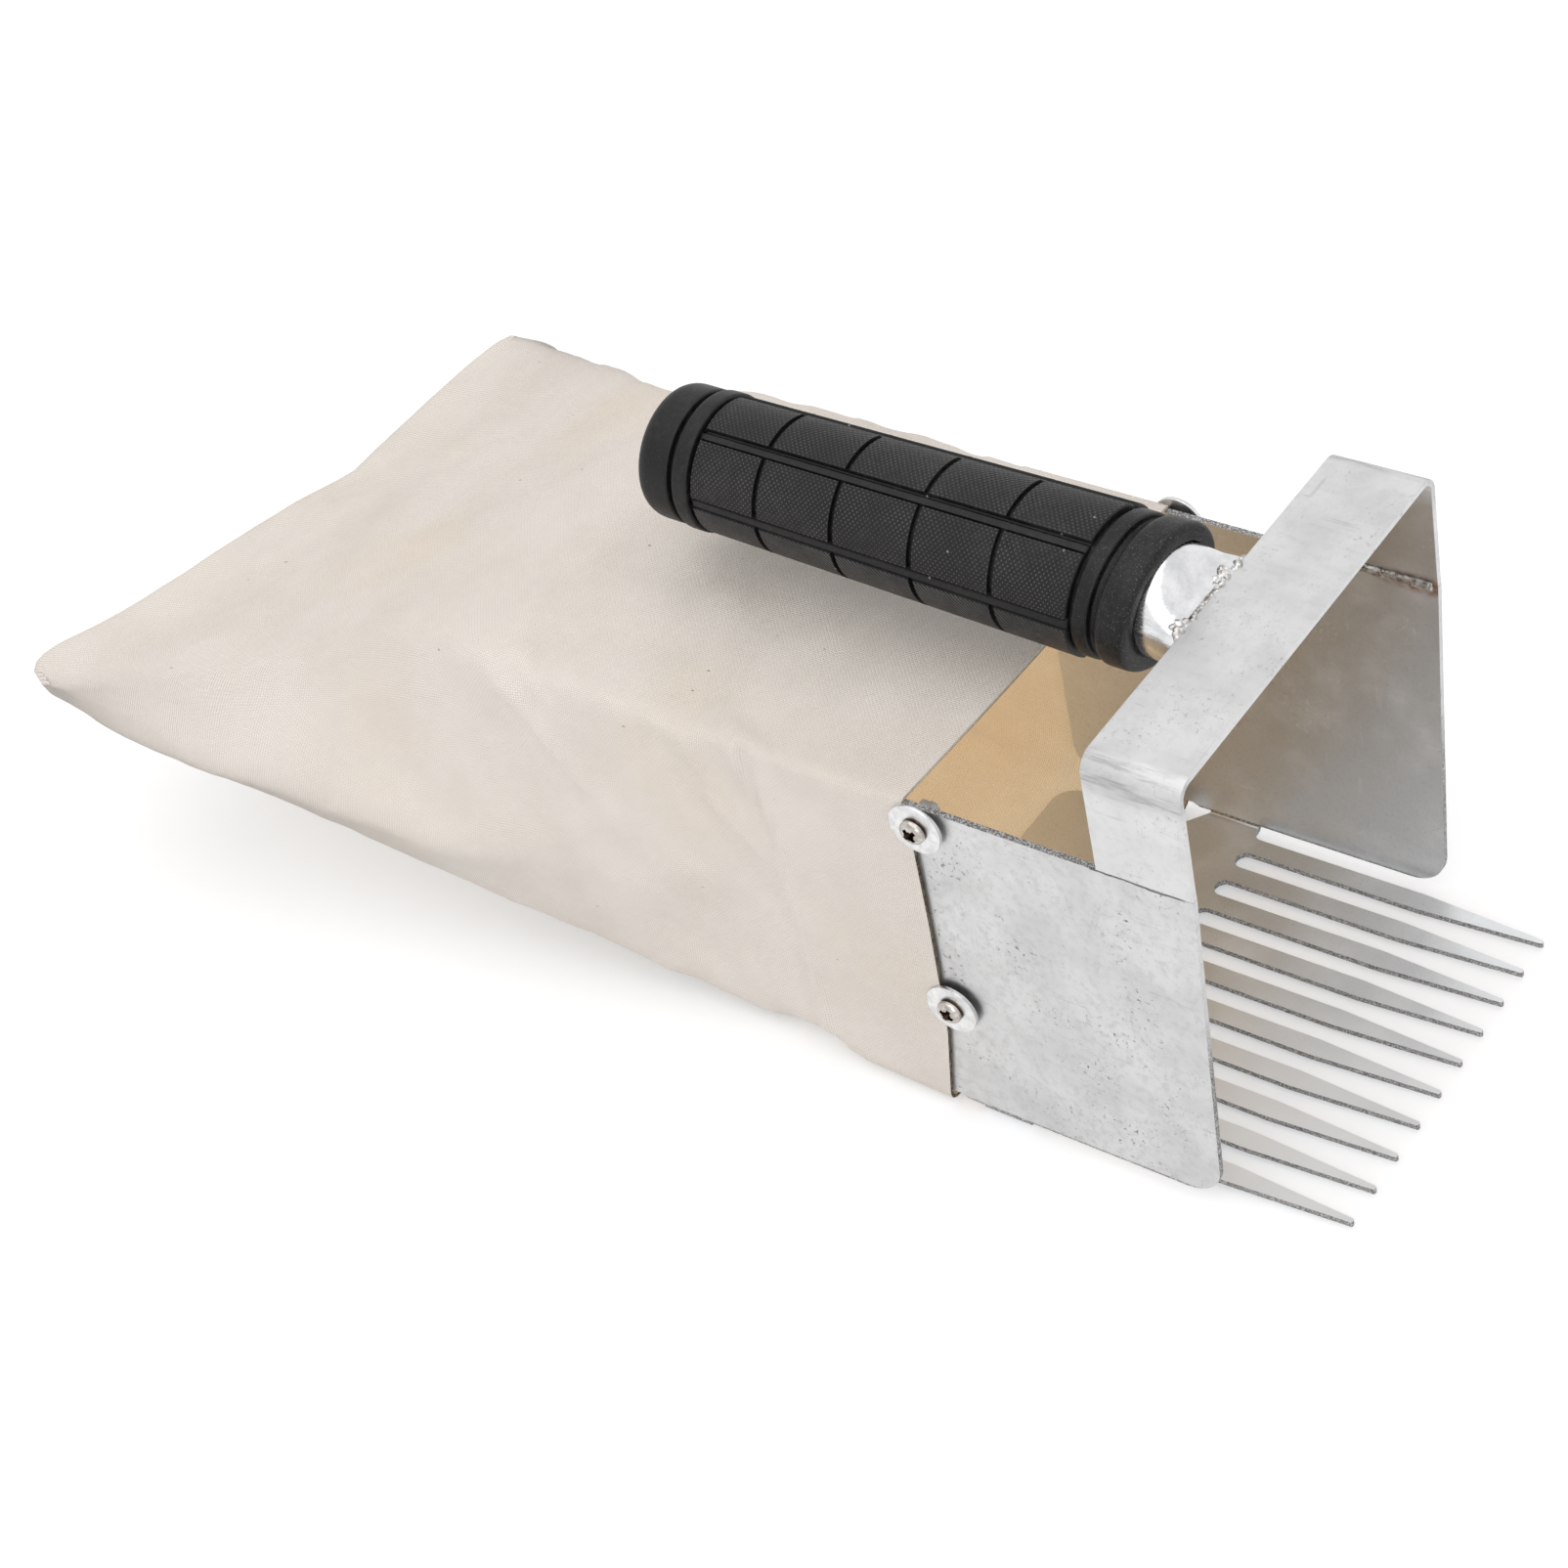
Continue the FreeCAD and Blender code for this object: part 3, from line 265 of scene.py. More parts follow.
def sheet_metal(name, pale, painted_inside_tones, roughness, blotched, pitted):
    """Aluminium sheet: pale outside, painted lighter inside the tray as painted light, rough and
    speckled on its cut edges.
    """
    material, tree, shader, place = new_material(name)
    x, y, z = add(tree, "SeparateXYZ", {0: place}).outputs
    wear = use_group(tree, METAL_WEAR, Place=place, Cloud_Scale=70.0, Scratch_Scale=900.0,
                     Pit_Scale=780.0)
    inside, floor_top, cut = sheet_sides(tree, place)
    bend = sum_of(tree, "MULTIPLY", ease(tree, sum_of(tree, "ABSOLUTE", x), 47 * MM, 50 * MM),
                  ease(tree, z, level(114), level(119)))

    # Inside faces take the inside's own tones, lighter than the outside's: painted light against the
    # shade inside the tray.
    tone = mix(tree, inside, outside_sheet(tree, place, wear, pale, blotched, pitted, bend),
               inside_sheet(tree, place, wear, painted_inside_tones))
    # Painted light: the floor's top is painted nearly white towards the teeth, more so on the near
    # side.
    painted_light_on_teeth = sum_of(tree, "MULTIPLY", floor_top, ease(tree, y, back(61), back(22)))
    tone = tinted(tree, tone, painted_light_on_teeth, ease(tree, x, 45 * MM, -35 * MM, 0.25, 0.9),
                  paint(244, 244, 244))
    sparkle = grain(tree, place, 2600.0, 2.0, 0.7)
    cut_tone = mix(tree, ease(tree, sparkle, 0.44, 0.6), paint(84, 82, 80), paint(196, 195, 194))
    tone = tinted(tree, tone, cut, 0.85, cut_tone)
    connect(tree, tone, shader.inputs["Base Color"])
    shader.inputs["Metallic"].default_value = 1.0

    rough = ease(tree, wear.outputs["Cloud"], 0.25, 0.75, roughness - 0.06, roughness + 0.08)
    rough = sum_of(tree, "MULTIPLY_ADD", bend, 0.22, rough)
    rough = sum_of(tree, "ADD", rough, sum_of(tree, "MULTIPLY", cut, 0.18))
    connect(tree, rough, shader.inputs["Roughness"])
    height = sum_of(tree, "MULTIPLY", sparkle, sum_of(tree, "ADD", cut, 0.08))
    height = sum_of(tree, "SUBTRACT", height, sum_of(tree, "MULTIPLY", wear.outputs["Pit"], 0.3))
    bumps(tree, shader, height, 0.12 * MM)
    return material


def give(piece, material):
    """Put a material on a piece in place of what it has."""
    for slot in piece.material_slots:
        slot.link = "OBJECT"
        slot.material = material
    if not piece.material_slots:
        piece.data.materials.append(material)


def break_edges(piece, width):
    """Take the sharpness off a metal piece's edges, as handling does."""
    weld = piece.modifiers.new("Joined corners", "WELD")
    weld.merge_threshold = 0.002 * MM
    edges = piece.modifiers.new("Broken edges", "BEVEL")
    edges.width = width
    edges.segments = 2
    edges.limit_method = "ANGLE"
    edges.angle_limit = math.radians(42)


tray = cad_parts["scoop_tray"]
tray_metal = sheet_metal("Tray sheet", (paint(196, 196, 196), paint(213, 213, 213)),
                         (paint(210, 211, 212), paint(219, 222, 225), paint(188, 187, 186),
                          paint(238, 240, 242)), 0.38, 0.45, 0.9)
give(tray, tray_metal)
break_edges(tray, EDGE_WEAR)


# The strap: a flat aluminium bar bent into a low arch and butt welded to the walls' top edges.
# Its top is smoother than the tray, with faint scuffs and a brighter front edge.
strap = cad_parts["bridge_strap"]
strap_metal = sheet_metal("Strap bar", (paint(206, 206, 206), paint(218, 218, 218)),
                          (paint(204, 202, 200), paint(214, 213, 212), paint(186, 182, 178),
                           paint(228, 228, 228)), 0.36, 0.2, 0.35)
give(strap, strap_metal)
break_edges(strap, EDGE_WEAR)


# The welds: a bead inside each foot of the strap, and a thin seam with two lumpy tacks that holds
# the tube to the strap's rear edge. They are bright and pitted, and browned where they ran hot.
LUMP = 0.30 * MM
LUMP_SIZE = 1.5 * MM
WELD_CELL = 0.2 * MM
STRAP_EDGE = 19.0
STRAP_TOP = 124.4
SEAM_BALLS = 34
SEAM_START = -13.6
SEAM_STEP = 0.82
# Heaps of weld on the seam: across, back, up, how far they spread, and how many balls.
HEAPS = [(-11.3, 20.0, 124.5, 2.3, 15), (5.6, 20.4, 124.7, 2.6, 17), (10.6, 18.9, 124.3, 1.2, 5),
         (-6.8, 19.1, 124.2, 0.9, 3)]


def weld_metal(name, dark, light):
    """Weld as it cooled: bright, pitted and browned in patches."""
    material, tree, shader, place = new_material(name)
    wear = use_group(tree, METAL_WEAR, Place=place, Cloud_Scale=420.0, Scratch_Scale=2000.0,
                     Pit_Scale=1100.0)
    tone = mix(tree, ease(tree, wear.outputs["Cloud"], 0.35, 0.65), dark, light)
    burn = ease(tree, grain(tree, place, 260.0, 2.0), 0.56, 0.72, 0.0, 0.6)
    tone = mix(tree, burn, tone, paint(128, 96, 70))
    tone = mix(tree, wear.outputs["Pit"], tone, paint(60, 54, 50))
    connect(tree, tone, shader.inputs["Base Color"])
    shader.inputs["Metallic"].default_value = 1.0
    connect(tree, ease(tree, wear.outputs["Cloud"], 0.3, 0.7, 0.22, 0.42), shader.inputs["Roughness"])
    bumps(tree, shader, grain(tree, place, 1600.0, 2.0), 0.1 * MM)
    return material


def in_scene(name, data):
    """A new object in the scene."""
    made = bpy.data.objects.new(name, data)
    bpy.context.scene.collection.objects.link(made)
    return made


def new_piece(name, mesh, material, node):
    """Show a finished mesh in place of a CAD node, riding on the one body."""
    mesh.materials.append(material)
    piece = in_scene(name, mesh)
    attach(piece, "root")
    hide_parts(node)
    return piece


def finished(shape, name):
    """The mesh of a shape whose modelling is done."""
    mesh = bpy.data.meshes.new(name)
    shape.to_mesh(mesh)
    shape.free()
    return mesh


def baked(mesh, kind, **settings):
    """The mesh that a modifier makes of another mesh."""
    holder = in_scene("holder", mesh)
    made = holder.modifiers.new("Shaping", kind)
    for name, value in settings.items():
        setattr(made, name, value)
    bpy.context.view_layer.update()
    whole = holder.evaluated_get(bpy.context.evaluated_depsgraph_get())
    result = bpy.data.meshes.new_from_object(whole)
    bpy.data.objects.remove(holder)
    return result


def melted(name, shape, node, material, lump):
    """Fill a closed shape evenly with small faces, push it into lumps and show it for a CAD weld."""
    mesh = baked(finished(shape, name), "REMESH", mode="VOXEL", voxel_size=WELD_CELL)
    shape = bmesh.new()
    shape.from_mesh(mesh)
    for _ in range(3):
        bmesh.ops.smooth_vert(shape, verts=shape.verts, factor=0.5,
                              use_axis_x=True, use_axis_y=True, use_axis_z=True)
    shape.normal_update()
    for vert in shape.verts:
        height = noise.fractal(vert.co / LUMP_SIZE, 1.0, 2.0, 3)
        vert.co += vert.normal * height * lump
    for face in shape.faces:
        face.smooth = True
    new_piece(name, finished(shape, name), material, node)


def seam_shape():
    """Balls of weld along the joint of tube and strap, larger in heaps at the two tacks."""
    chance = random.Random(5)
    balls = []
    for step in range(SEAM_BALLS):
        across = SEAM_START + step * SEAM_STEP
        balls.append((across, STRAP_EDGE + 0.35 + chance.uniform(-0.15, 0.25),
                      STRAP_TOP - 0.75 + chance.uniform(-0.1, 0.15), chance.uniform(0.75, 0.95)))
    for across, behind, up, spread, count in HEAPS:
        for _ in range(count):
            balls.append((across + chance.uniform(-1, 1) * spread,
                          behind + chance.uniform(-0.6, 0.6) * spread,
                          up + chance.uniform(-0.4, 0.35), chance.uniform(0.5, 1.05)))
    shape = bmesh.new()
    for across, behind, up, radius in balls:
        bmesh.ops.create_icosphere(shape, subdivisions=2, radius=radius * MM,
                                   matrix=Matrix.Translation(at(across, behind, up)))
    return shape


seam_metal = weld_metal("Seam metal", paint(168, 164, 160), paint(232, 232, 232))
foot_metal = weld_metal("Foot weld metal", paint(140, 133, 126), paint(196, 192, 188))
melted("handle_weld_seam", seam_shape(), "handle_weld", seam_metal, LUMP * 0.7)
for side in ("left", "right"):
    bead = bmesh.new()
    bead.from_mesh(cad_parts[f"strap_weld_{side}"].data)
    bmesh.ops.remove_doubles(bead, verts=bead.verts, dist=0.002 * MM)
    melted(f"strap_weld_lumps_{side}", bead, f"strap_weld_{side}", foot_metal, LUMP * 0.6)


# The handle tube: a length of bright drawn aluminium tube, most of it inside the grip. Its front
# end is hammered wide and flat, so that its top comes down to the strap's.
TUBE_UP = 120.1
TUBE_START = at(0, 19.8, TUBE_UP)
TILT = math.radians(1.0)
HANDLE_AXIS = (0, 1, 0)
TUBE_RADIUS = 12.5
TUBE_WALL = 1.5
TUBE_END = 135.9
TUBE_STEPS = 144
PRESSED = 9.5
WIDENED = 14.0
WIDER = 0.14
SHALLOWER = 0.05
DENTS = 0.35
DENT_SIZE = 5.0


def soft(way):
    """A number from 0 to 1 with a soft start and end."""
    way = min(max(way, 0.0), 1.0)
    return way * way * (3 - 2 * way)


def outline(shape, places, closed=False):
    """Draw a line through places, ready to be turned."""
    corners = [shape.verts.new(place) for place in places]
    for pair in zip(corners, corners[1:] + (corners[:1] if closed else [])):
        shape.edges.new(pair)
    return corners


def turned(shape, steps, axis, close):
    """Turn a line of points once round an axis, and join the points closer than close."""
    bmesh.ops.spin(shape, geom=list(shape.verts) + list(shape.edges), cent=(0, 0, 0), axis=axis,
                   dvec=(0, 0, 0), angle=math.tau, steps=steps, use_merge=True, use_duplicate=False)
    bmesh.ops.remove_doubles(shape, verts=shape.verts, dist=close)
    bmesh.ops.recalc_face_normals(shape, faces=shape.faces)


def on_handle(shape, name):
    """The finished mesh of a shape drawn in millimetres along the handle from the tube's front."""
    bmesh.ops.rotate(shape, verts=shape.verts, cent=(0, 0, 0),
                     matrix=Matrix.Rotation(TILT, 3, "X"))
    bmesh.ops.scale(shape, verts=shape.verts, vec=(MM, MM, MM))
    bmesh.ops.translate(shape, verts=shape.verts, vec=TUBE_START)
    for face in shape.faces:
        face.smooth = True
    mesh = finished(shape, name)
    mesh.set_sharp_from_angle(angle=math.radians(35))
    return mesh


def tube_mesh():
    """The tube, turned from its wall's section, then spread wide and hammered flat at its front."""
    stops = [step * 0.5 for step in range(33)] + [TUBE_END]
    section = [(0.0, s, TUBE_RADIUS) for s in stops]
    section += [(0.0, s, TUBE_RADIUS - TUBE_WALL) for s in reversed(stops)]
    shape = bmesh.new()
    outline(shape, section, closed=True)
    turned(shape, TUBE_STEPS, HANDLE_AXIS, 0.0005)
    for vert in shape.verts:
        depth = TUBE_RADIUS - math.hypot(vert.co.x, vert.co.z)
        wide = soft(1 - vert.co.y / WIDENED)
        pressed = soft(1 - vert.co.y / PRESSED)
        vert.co.x *= 1 + WIDER * wide
        if vert.co.z < 0:
            vert.co.z *= 1 - SHALLOWER * wide
        above = max(0.0, vert.co.z + depth - (STRAP_TOP - TUBE_UP) + 0.9)
        vert.co.z -= 0.95 * pressed * above * above / (above + 1.2)
        if vert.co.z > 0:
            dent = noise.fractal(vert.co / DENT_SIZE, 1.0, 2.0, 2)
            vert.co.z += DENTS * dent * wide
    return on_handle(shape, "handle_tube_metal")


def drawn_tube():
    """Bright tube, with fine lines along it from drawing."""
    material, tree, shader, place = new_material("Drawn tube")
    wear = use_group(tree, METAL_WEAR, Place=place, Cloud_Scale=110.0, Scratch_Scale=1200.0,
                     Pit_Scale=500.0)
    lines = grain(tree, stretched(tree, place, (1.0, 0.02, 1.0)), 2200.0, 2.0)
    tone = mix(tree, ease(tree, wear.outputs["Cloud"], 0.3, 0.7), paint(212, 213, 215),
               paint(238, 238, 239))
    tone = tinted(tree, tone, wear.outputs["Blotch"], 0.25, paint(180, 180, 182))
    connect(tree, tone, shader.inputs["Base Color"])
    shader.inputs["Metallic"].default_value = 1.0
    connect(tree, ease(tree, lines, 0.3, 0.7, 0.16, 0.3), shader.inputs["Roughness"])
    bumps(tree, shader, lines, 0.02 * MM)
    return material


new_piece("handle_tube_metal", tube_mesh(), drawn_tube(), "handle_tube")


# The grip: a moulded black rubber sleeve pushed over the tube. Rings stand at its ends, and six
# rows of five knurled pads run along it, with smooth strips between the rows. Pushed on by hand,
# its front flange sits askew.
GRIP_START = 8.2
GRIP_END = 129.2
BORE = 12.55
BORE_END = 127.7
BODY_START = 14.5
BODY_END = 113.2
BODY_FRONT_RADIUS = 17.0
BODY_REAR_RADIUS = 15.5
FIRST_GAP = 33.8
PAD_PITCH = 20.35
GAPS = 4
PAD_GAP = 1.3
PAD_GAP_DEPTH = 1.0
ROWS = 6
STRIP_TURN = 27.0
# Depth of a strip between two rows, at each degree across it: a deep step below the row above,
# the strip itself, and a thin line where the next row begins.
STRIP_DEPTHS = [0.0, 1.0, 1.1, 0.75, 0.45, 0.4, 0.38, 0.35, 0.32, 0.3, 0.75, 0.0]
STRIP_ANGLE = float(len(STRIP_DEPTHS) - 1)
TURN_STEPS = 360
FLANGE_SKEW = 2.6
FLANGE_SHIFT = 1.2
SKEW_LEAN = math.radians(40)
SKEW_END = 34.0
GAP_STARTS = [FIRST_GAP + number * PAD_PITCH for number in range(GAPS)]


def rounded(first, corner, last, steps=3):
    """Points of a soft corner between two points of a profile."""
    points = []
    for step in range(steps + 1):
        way = step / steps
        points.append(tuple(a * (1 - way) ** 2 + 2 * b * way * (1 - way) + c * way ** 2
                            for a, b, c in zip(first, corner, last)))
    return points


def body_radius(s):
    """The radius over the pads, which taper towards the rear."""
    way = (s - BODY_START) / (BODY_END - BODY_START)
    return BODY_FRONT_RADIUS + (BODY_REAR_RADIUS - BODY_FRONT_RADIUS) * way


def grip_profile():
    """The sleeve's outline, as pairs of the way along it and the radius, from the closed end of
    its bore round the front to the middle of its end face."""
    points = [(BORE_END, 0.0), (BORE_END, BORE), (1.0, BORE)]
    points += rounded((1.0, BORE), (0.0, BORE), (0.0, 13.2))
    points += rounded((0.0, 14.8), (0.0, 16.7), (2.0, 16.7), 6)
    points += rounded((5.6, 16.7), (7.5, 16.7), (7.5, 15.4), 5)
    points += rounded((7.6, 15.0), (7.7, 14.6), (8.2, 14.6))
    points += rounded((8.9, 14.6), (9.4, 14.6), (9.5, 15.2))
    points += rounded((9.5, 15.5), (9.5, 16.3), (10.3, 16.3), 4)
    points += rounded((12.7, 16.3), (13.6, 16.3), (13.7, 15.7), 4)
    points += [(13.75, 15.4), (14.3, 15.4)]
    points.append((BODY_START, body_radius(BODY_START) - 0.3))
    start = BODY_START + 0.35
    for stop in GAP_STARTS + [BODY_END]:
        last = stop - 0.3
        for step in range(15):
            s = start + (last - start) * step / 14
            points.append((s, body_radius(s)))
        if stop < BODY_END:
            for way in (-0.12, 0.0, 0.1, PAD_GAP / 2, PAD_GAP - 0.1, PAD_GAP, PAD_GAP + 0.12):
                points.append((stop + way, body_radius(stop)))
        start = stop + PAD_GAP + 0.3
    points += [(BODY_END, BODY_REAR_RADIUS - 0.3), (BODY_END + 0.05, 14.5), (113.9, 14.3)]
    points += rounded((114.0, 15.1), (114.0, 15.9), (114.7, 15.9), 4)
    points += rounded((117.5, 15.9), (118.2, 15.9), (118.2, 15.2), 4)
    points += [(118.3, 14.3), (119.5, 14.2)]
    points += rounded((119.7, 14.9), (119.7, 15.5), (120.4, 15.5), 4)
    points += rounded((125.0, 15.5), (GRIP_END, 15.5), (GRIP_END, 11.4), 10)
    points += [(GRIP_END, 8.0), (GRIP_END - 0.3, 7.5), (GRIP_END - 0.3, 0.0)]
    return points


def window(value, low, high, edge):
    """1 while value is between low and high, and 0 outside, over a short slope."""
    rise = min(max((value - low) / edge, 0.0), 1.0)
    fall = min(max((high - value) / edge, 0.0), 1.0)
    return min(rise, fall)


def strip_depth(turn):
    """How deep the grip is cut at a turn round it, in degrees from its top."""
    spacing = 360 / ROWS
    across = (turn - STRIP_TURN + STRIP_ANGLE / 2) % spacing
    if across >= STRIP_ANGLE:
        return 0.0
    low = int(across)
    return STRIP_DEPTHS[low] + (STRIP_DEPTHS[low + 1] - STRIP_DEPTHS[low]) * (across - low)


def gap_share(along):
    """Whether a place along the grip lies in a groove between two pads."""
    return max(window(along, start, start + PAD_GAP, 0.1) for start in GAP_STARTS)


def pattern_of(middle):
    """Which material a face of the grip has: 0 smooth, 1 knurled, and 2 ridged on the pads below."""
    radius = math.hypot(middle.x, middle.z)
    turn = math.degrees(math.atan2(-middle.x, middle.z))
    on_body = BODY_START + 0.3 < middle.y < BODY_END - 0.3 and radius > BORE + 1.0
    if not on_body or strip_depth(turn) or gap_share(middle.y):
        return 0
    below = STRIP_TURN + 360 / ROWS < turn % 360 < STRIP_TURN + 4 * 360 / ROWS
    return 2 if below else 1


def grip_mesh():
    """The grip, turned from its profile: strips and grooves sunk in, pads marked for their
    pattern, and the front flange set askew."""
    shape = bmesh.new()
    corners = outline(shape, [(0.0, s, r) for s, r in grip_profile()])
    start_turn = Matrix.Rotation(-math.radians(STRIP_TURN - STRIP_ANGLE / 2), 4, "Y")
    bmesh.ops.rotate(shape, verts=corners, cent=(0, 0, 0), matrix=start_turn.to_3x3())
    turned(shape, TURN_STEPS, HANDLE_AXIS, 0.0005)
    marks = shape.loops.layers.uv.new("Grip")
    for vert in shape.verts:
        radius = math.hypot(vert.co.x, vert.co.z)
        turn = math.degrees(math.atan2(-vert.co.x, vert.co.z))
        if BODY_START - 0.1 <= vert.co.y <= BODY_END + 0.1 and radius > BORE + 1.0:
            lower = strip_depth(turn) or gap_share(vert.co.y) * PAD_GAP_DEPTH
            vert.co.x *= 1 - lower / radius
            vert.co.z *= 1 - lower / radius
    for face in shape.faces:
        middle = face.calc_center_median()
        face.material_index = pattern_of(middle)
        turn_here = math.atan2(-middle.x, middle.z)
        for loop in face.loops:
            turn = math.atan2(-loop.vert.co.x, loop.vert.co.z)
            if turn - turn_here > math.pi:
                turn -= math.tau
            if turn - turn_here < -math.pi:
                turn += math.tau
            loop[marks].uv = (turn * BODY_FRONT_RADIUS * MM, loop.vert.co.y * MM)
    for vert in shape.verts:
        if vert.co.y < SKEW_END and math.hypot(vert.co.x, vert.co.z) > BORE + 0.1:
            aside = vert.co.x * math.sin(SKEW_LEAN) + vert.co.z * math.cos(SKEW_LEAN)
            shift = FLANGE_SHIFT - FLANGE_SKEW * (aside / BODY_FRONT_RADIUS)
            vert.co.y += shift * soft(1 - vert.co.y / SKEW_END)
    bmesh.ops.translate(shape, verts=shape.verts, vec=(0, GRIP_START, 0))
    return on_handle(shape, "grip_rubber")


def dust_group():
    """What settles on a dark surface: pale specks, and a thin film in patches."""
    tree, given, result = new_group(
        "Dust", [("Place", "NodeSocketVector"), ("Speck Scale", "NodeSocketFloat")],
        [("Speck", "NodeSocketFloat"), ("Film", "NodeSocketFloat")])
    place = given.outputs["Place"]
    cells = add(tree, "TexVoronoi", {"Vector": place, "Scale": given.outputs["Speck Scale"]})
    dot = ease(tree, cells.outputs["Distance"], 0.16, 0.06)
    lot = add(tree, "SeparateColor", {0: cells.outputs["Color"]}).outputs[1]
    chosen = ease(tree, lot, 0.93, 0.95)
    connect(tree, sum_of(tree, "MULTIPLY", dot, chosen), result.inputs["Speck"])
    film = sum_of(tree, "MULTIPLY", grain(tree, place, 60.0, 4.0), grain(tree, place, 600.0, 3.0))
    connect(tree, ease(tree, film, 0.2, 0.42), result.inputs["Film"])
    return tree


DUST = dust_group()
KNURL_PITCH = 1.2 * MM
KNURL_LEAN = 0.8
KNURL_DEPTH = 0.25 * MM


def y_of(tree, place):
    """How far along the tool a place is."""
    return add(tree, "SeparateXYZ", {0: place}).outputs[1]


def rubber(name, pattern):
    """Matt black rubber. The pattern is plain, knurl (crossed ridges) or ridge (one way only); on
    knurl and ridge the crests are painted lighter, a painted highlight.
    """
    material, tree, shader, place = new_material(name)
    dust = use_group(tree, DUST, Place=place, Speck_Scale=420.0)
    tone = mix(tree, ease(tree, grain(tree, place, 90.0), 0.3, 0.7), paint(6, 6, 7),
               paint(12, 12, 13))
    tone = tinted(tree, tone, dust.outputs["Film"], 0.09, paint(92, 88, 84))
    skin = grain(tree, place, 2400.0, 2.0)
    height = sum_of(tree, "MULTIPLY", skin, 0.12)
    depth = 0.2 * MM
    if pattern == "plain":
        sand = ease(tree, grain(tree, place, 2800.0, 3.0, 0.7), 0.58, 0.7)
        front = ease(tree, y_of(tree, place), TUBE_START.y + 26 * MM, TUBE_START.y + 8 * MM, 0.12, 0.6)
        tone = tinted(tree, tone, sand, front, paint(140, 136, 132))
    else:
        mapped = tree.nodes.new("ShaderNodeUVMap")
        mapped.uv_map = "Grip"
        across, along, _ = add(tree, "SeparateXYZ", {0: mapped.outputs[0]}).outputs
        waves = []
        for lean in (KNURL_LEAN, -KNURL_LEAN):
            slope = sum_of(tree, "MULTIPLY_ADD", across, lean, along)
            wave = sum_of(tree, "PINGPONG", sum_of(tree, "DIVIDE", slope, KNURL_PITCH), 0.5)
            waves.append(sum_of(tree, "MULTIPLY", wave, 2.0))
        if pattern == "knurl":
            wave = sum_of(tree, "MULTIPLY", waves[0], waves[1])
            crest = ease(tree, wave, 0.35, 0.9)
        else:
            wave = waves[0]
            crest = ease(tree, wave, 0.45, 0.95)
        # Painted highlight: the crests of the knurl and the ridges are painted lighter, patchily.
        crest_highlight_share = ease(tree, grain(tree, place, 150.0, 3.0), 0.3, 0.7, 0.3, 0.7)
        tone = tinted(tree, tone, crest, crest_highlight_share, paint(120, 117, 114))
        height = sum_of(tree, "ADD", height, wave)
        depth = KNURL_DEPTH
    tone = tinted(tree, tone, dust.outputs["Speck"], 0.6, paint(176, 172, 168))
    connect(tree, tone, shader.inputs["Base Color"])
    connect(tree, ease(tree, skin, 0.2, 0.8, 0.38, 0.56), shader.inputs["Roughness"])
    shader.inputs["Specular IOR Level"].default_value = 0.32
    bumps(tree, shader, height, depth)
    return material


grip = new_piece("grip_rubber", grip_mesh(), rubber("Smooth rubber", "plain"),
                 "rubber_grip")
grip.data.materials.append(rubber("Knurled rubber", "knurl"))
grip.data.materials.append(rubber("Ridged rubber", "ridge"))


# The bag: a tube of unbleached canvas pulled over the tray's rear, whose free end is sewn flat.
# It stands square while the tray fills it, and behind that it sags, creases and widens into a
# flat end with rounded corners.
CLOTH = 0.9
CLOTH_OUT = 53.6
CLOTH_LOW = -1.1
CLOTH_TOP = 95.1
ROUND_COLUMNS = 208
LENGTH_ROWS = 140
SIDE_SHARE = 49 / ROUND_COLUMNS
# Sections of the bag in millimetres: how far back they are, then the corners, each across and
# up: lower left, left side, upper left, upper right, right side, lower right.
BAG_SECTIONS = [
    (64.5, (-53.6, -1.1), (-53.6, 47.0), (-53.6, 95.1), (53.6, 95.1), (53.6, 47.0), (53.6, -1.1)),
    (101.0, (-53.6, -1.1), (-53.6, 47.0), (-53.6, 95.1), (53.6, 95.1), (53.6, 47.0), (53.6, -1.1)),
    (118.0, (-51.5, 0.5), (-54.0, 45.0), (-53.4, 95.0), (54.8, 95.9), (54.4, 47.0), (52.0, 0.5)),
    (140.0, (-53.0, 4.0), (-55.4, 42.0), (-53.4, 95.0), (54.8, 95.9), (55.5, 48.0), (52.5, 4.5)),
    (165.0, (-56.0, 11.0), (-58.5, 40.0), (-53.6, 95.0), (54.8, 95.9), (57.5, 50.0), (54.0, 12.0)),
    (185.0, (-59.5, 17.0), (-61.5, 38.0), (-52.8, 94.8), (53.8, 94.9), (60.0, 53.0), (57.0, 19.0)),
    (205.0, (-62.5, 23.0), (-65.0, 36.0), (-47.5, 90.5), (53.2, 90.0), (63.5, 57.0), (62.0, 27.0)),
    (225.0, (-66.0, 30.5), (-69.0, 39.5), (-46.0, 83.0), (57.4, 85.4), (69.0, 60.0), (66.5, 35.0)),
    (245.0, (-70.0, 37.5), (-73.5, 44.5), (-52.0, 75.0), (65.0, 80.0), (75.5, 62.0), (72.0, 43.0)),
    (265.0, (-74.5, 45.0), (-78.0, 49.5), (-62.0, 68.0), (72.5, 71.5), (79.5, 61.0), (77.0, 50.0)),
    (285.0, (-78.5, 52.0), (-80.5, 54.5), (-71.0, 62.5), (80.0, 64.0), (84.0, 60.0), (82.0, 55.5)),
    (298.0, (-79.5, 56.2), (-80.5, 57.4), (-77.0, 60.6), (84.0, 60.8), (86.3, 59.4), (85.0, 57.4)),
    (308.2, (-78.5, 57.2), (-79.5, 58.6), (-78.5, 60.0), (84.5, 60.0), (85.5, 58.6), (84.5, 57.2)),
    (310.0, (-78.0, 58.6), (-78.0, 58.6), (-78.0, 58.6), (84.0, 58.6), (84.0, 58.6), (84.0, 58.6)),
]
MOUTH, BAG_END = BAG_SECTIONS[0][0], BAG_SECTIONS[-1][0]
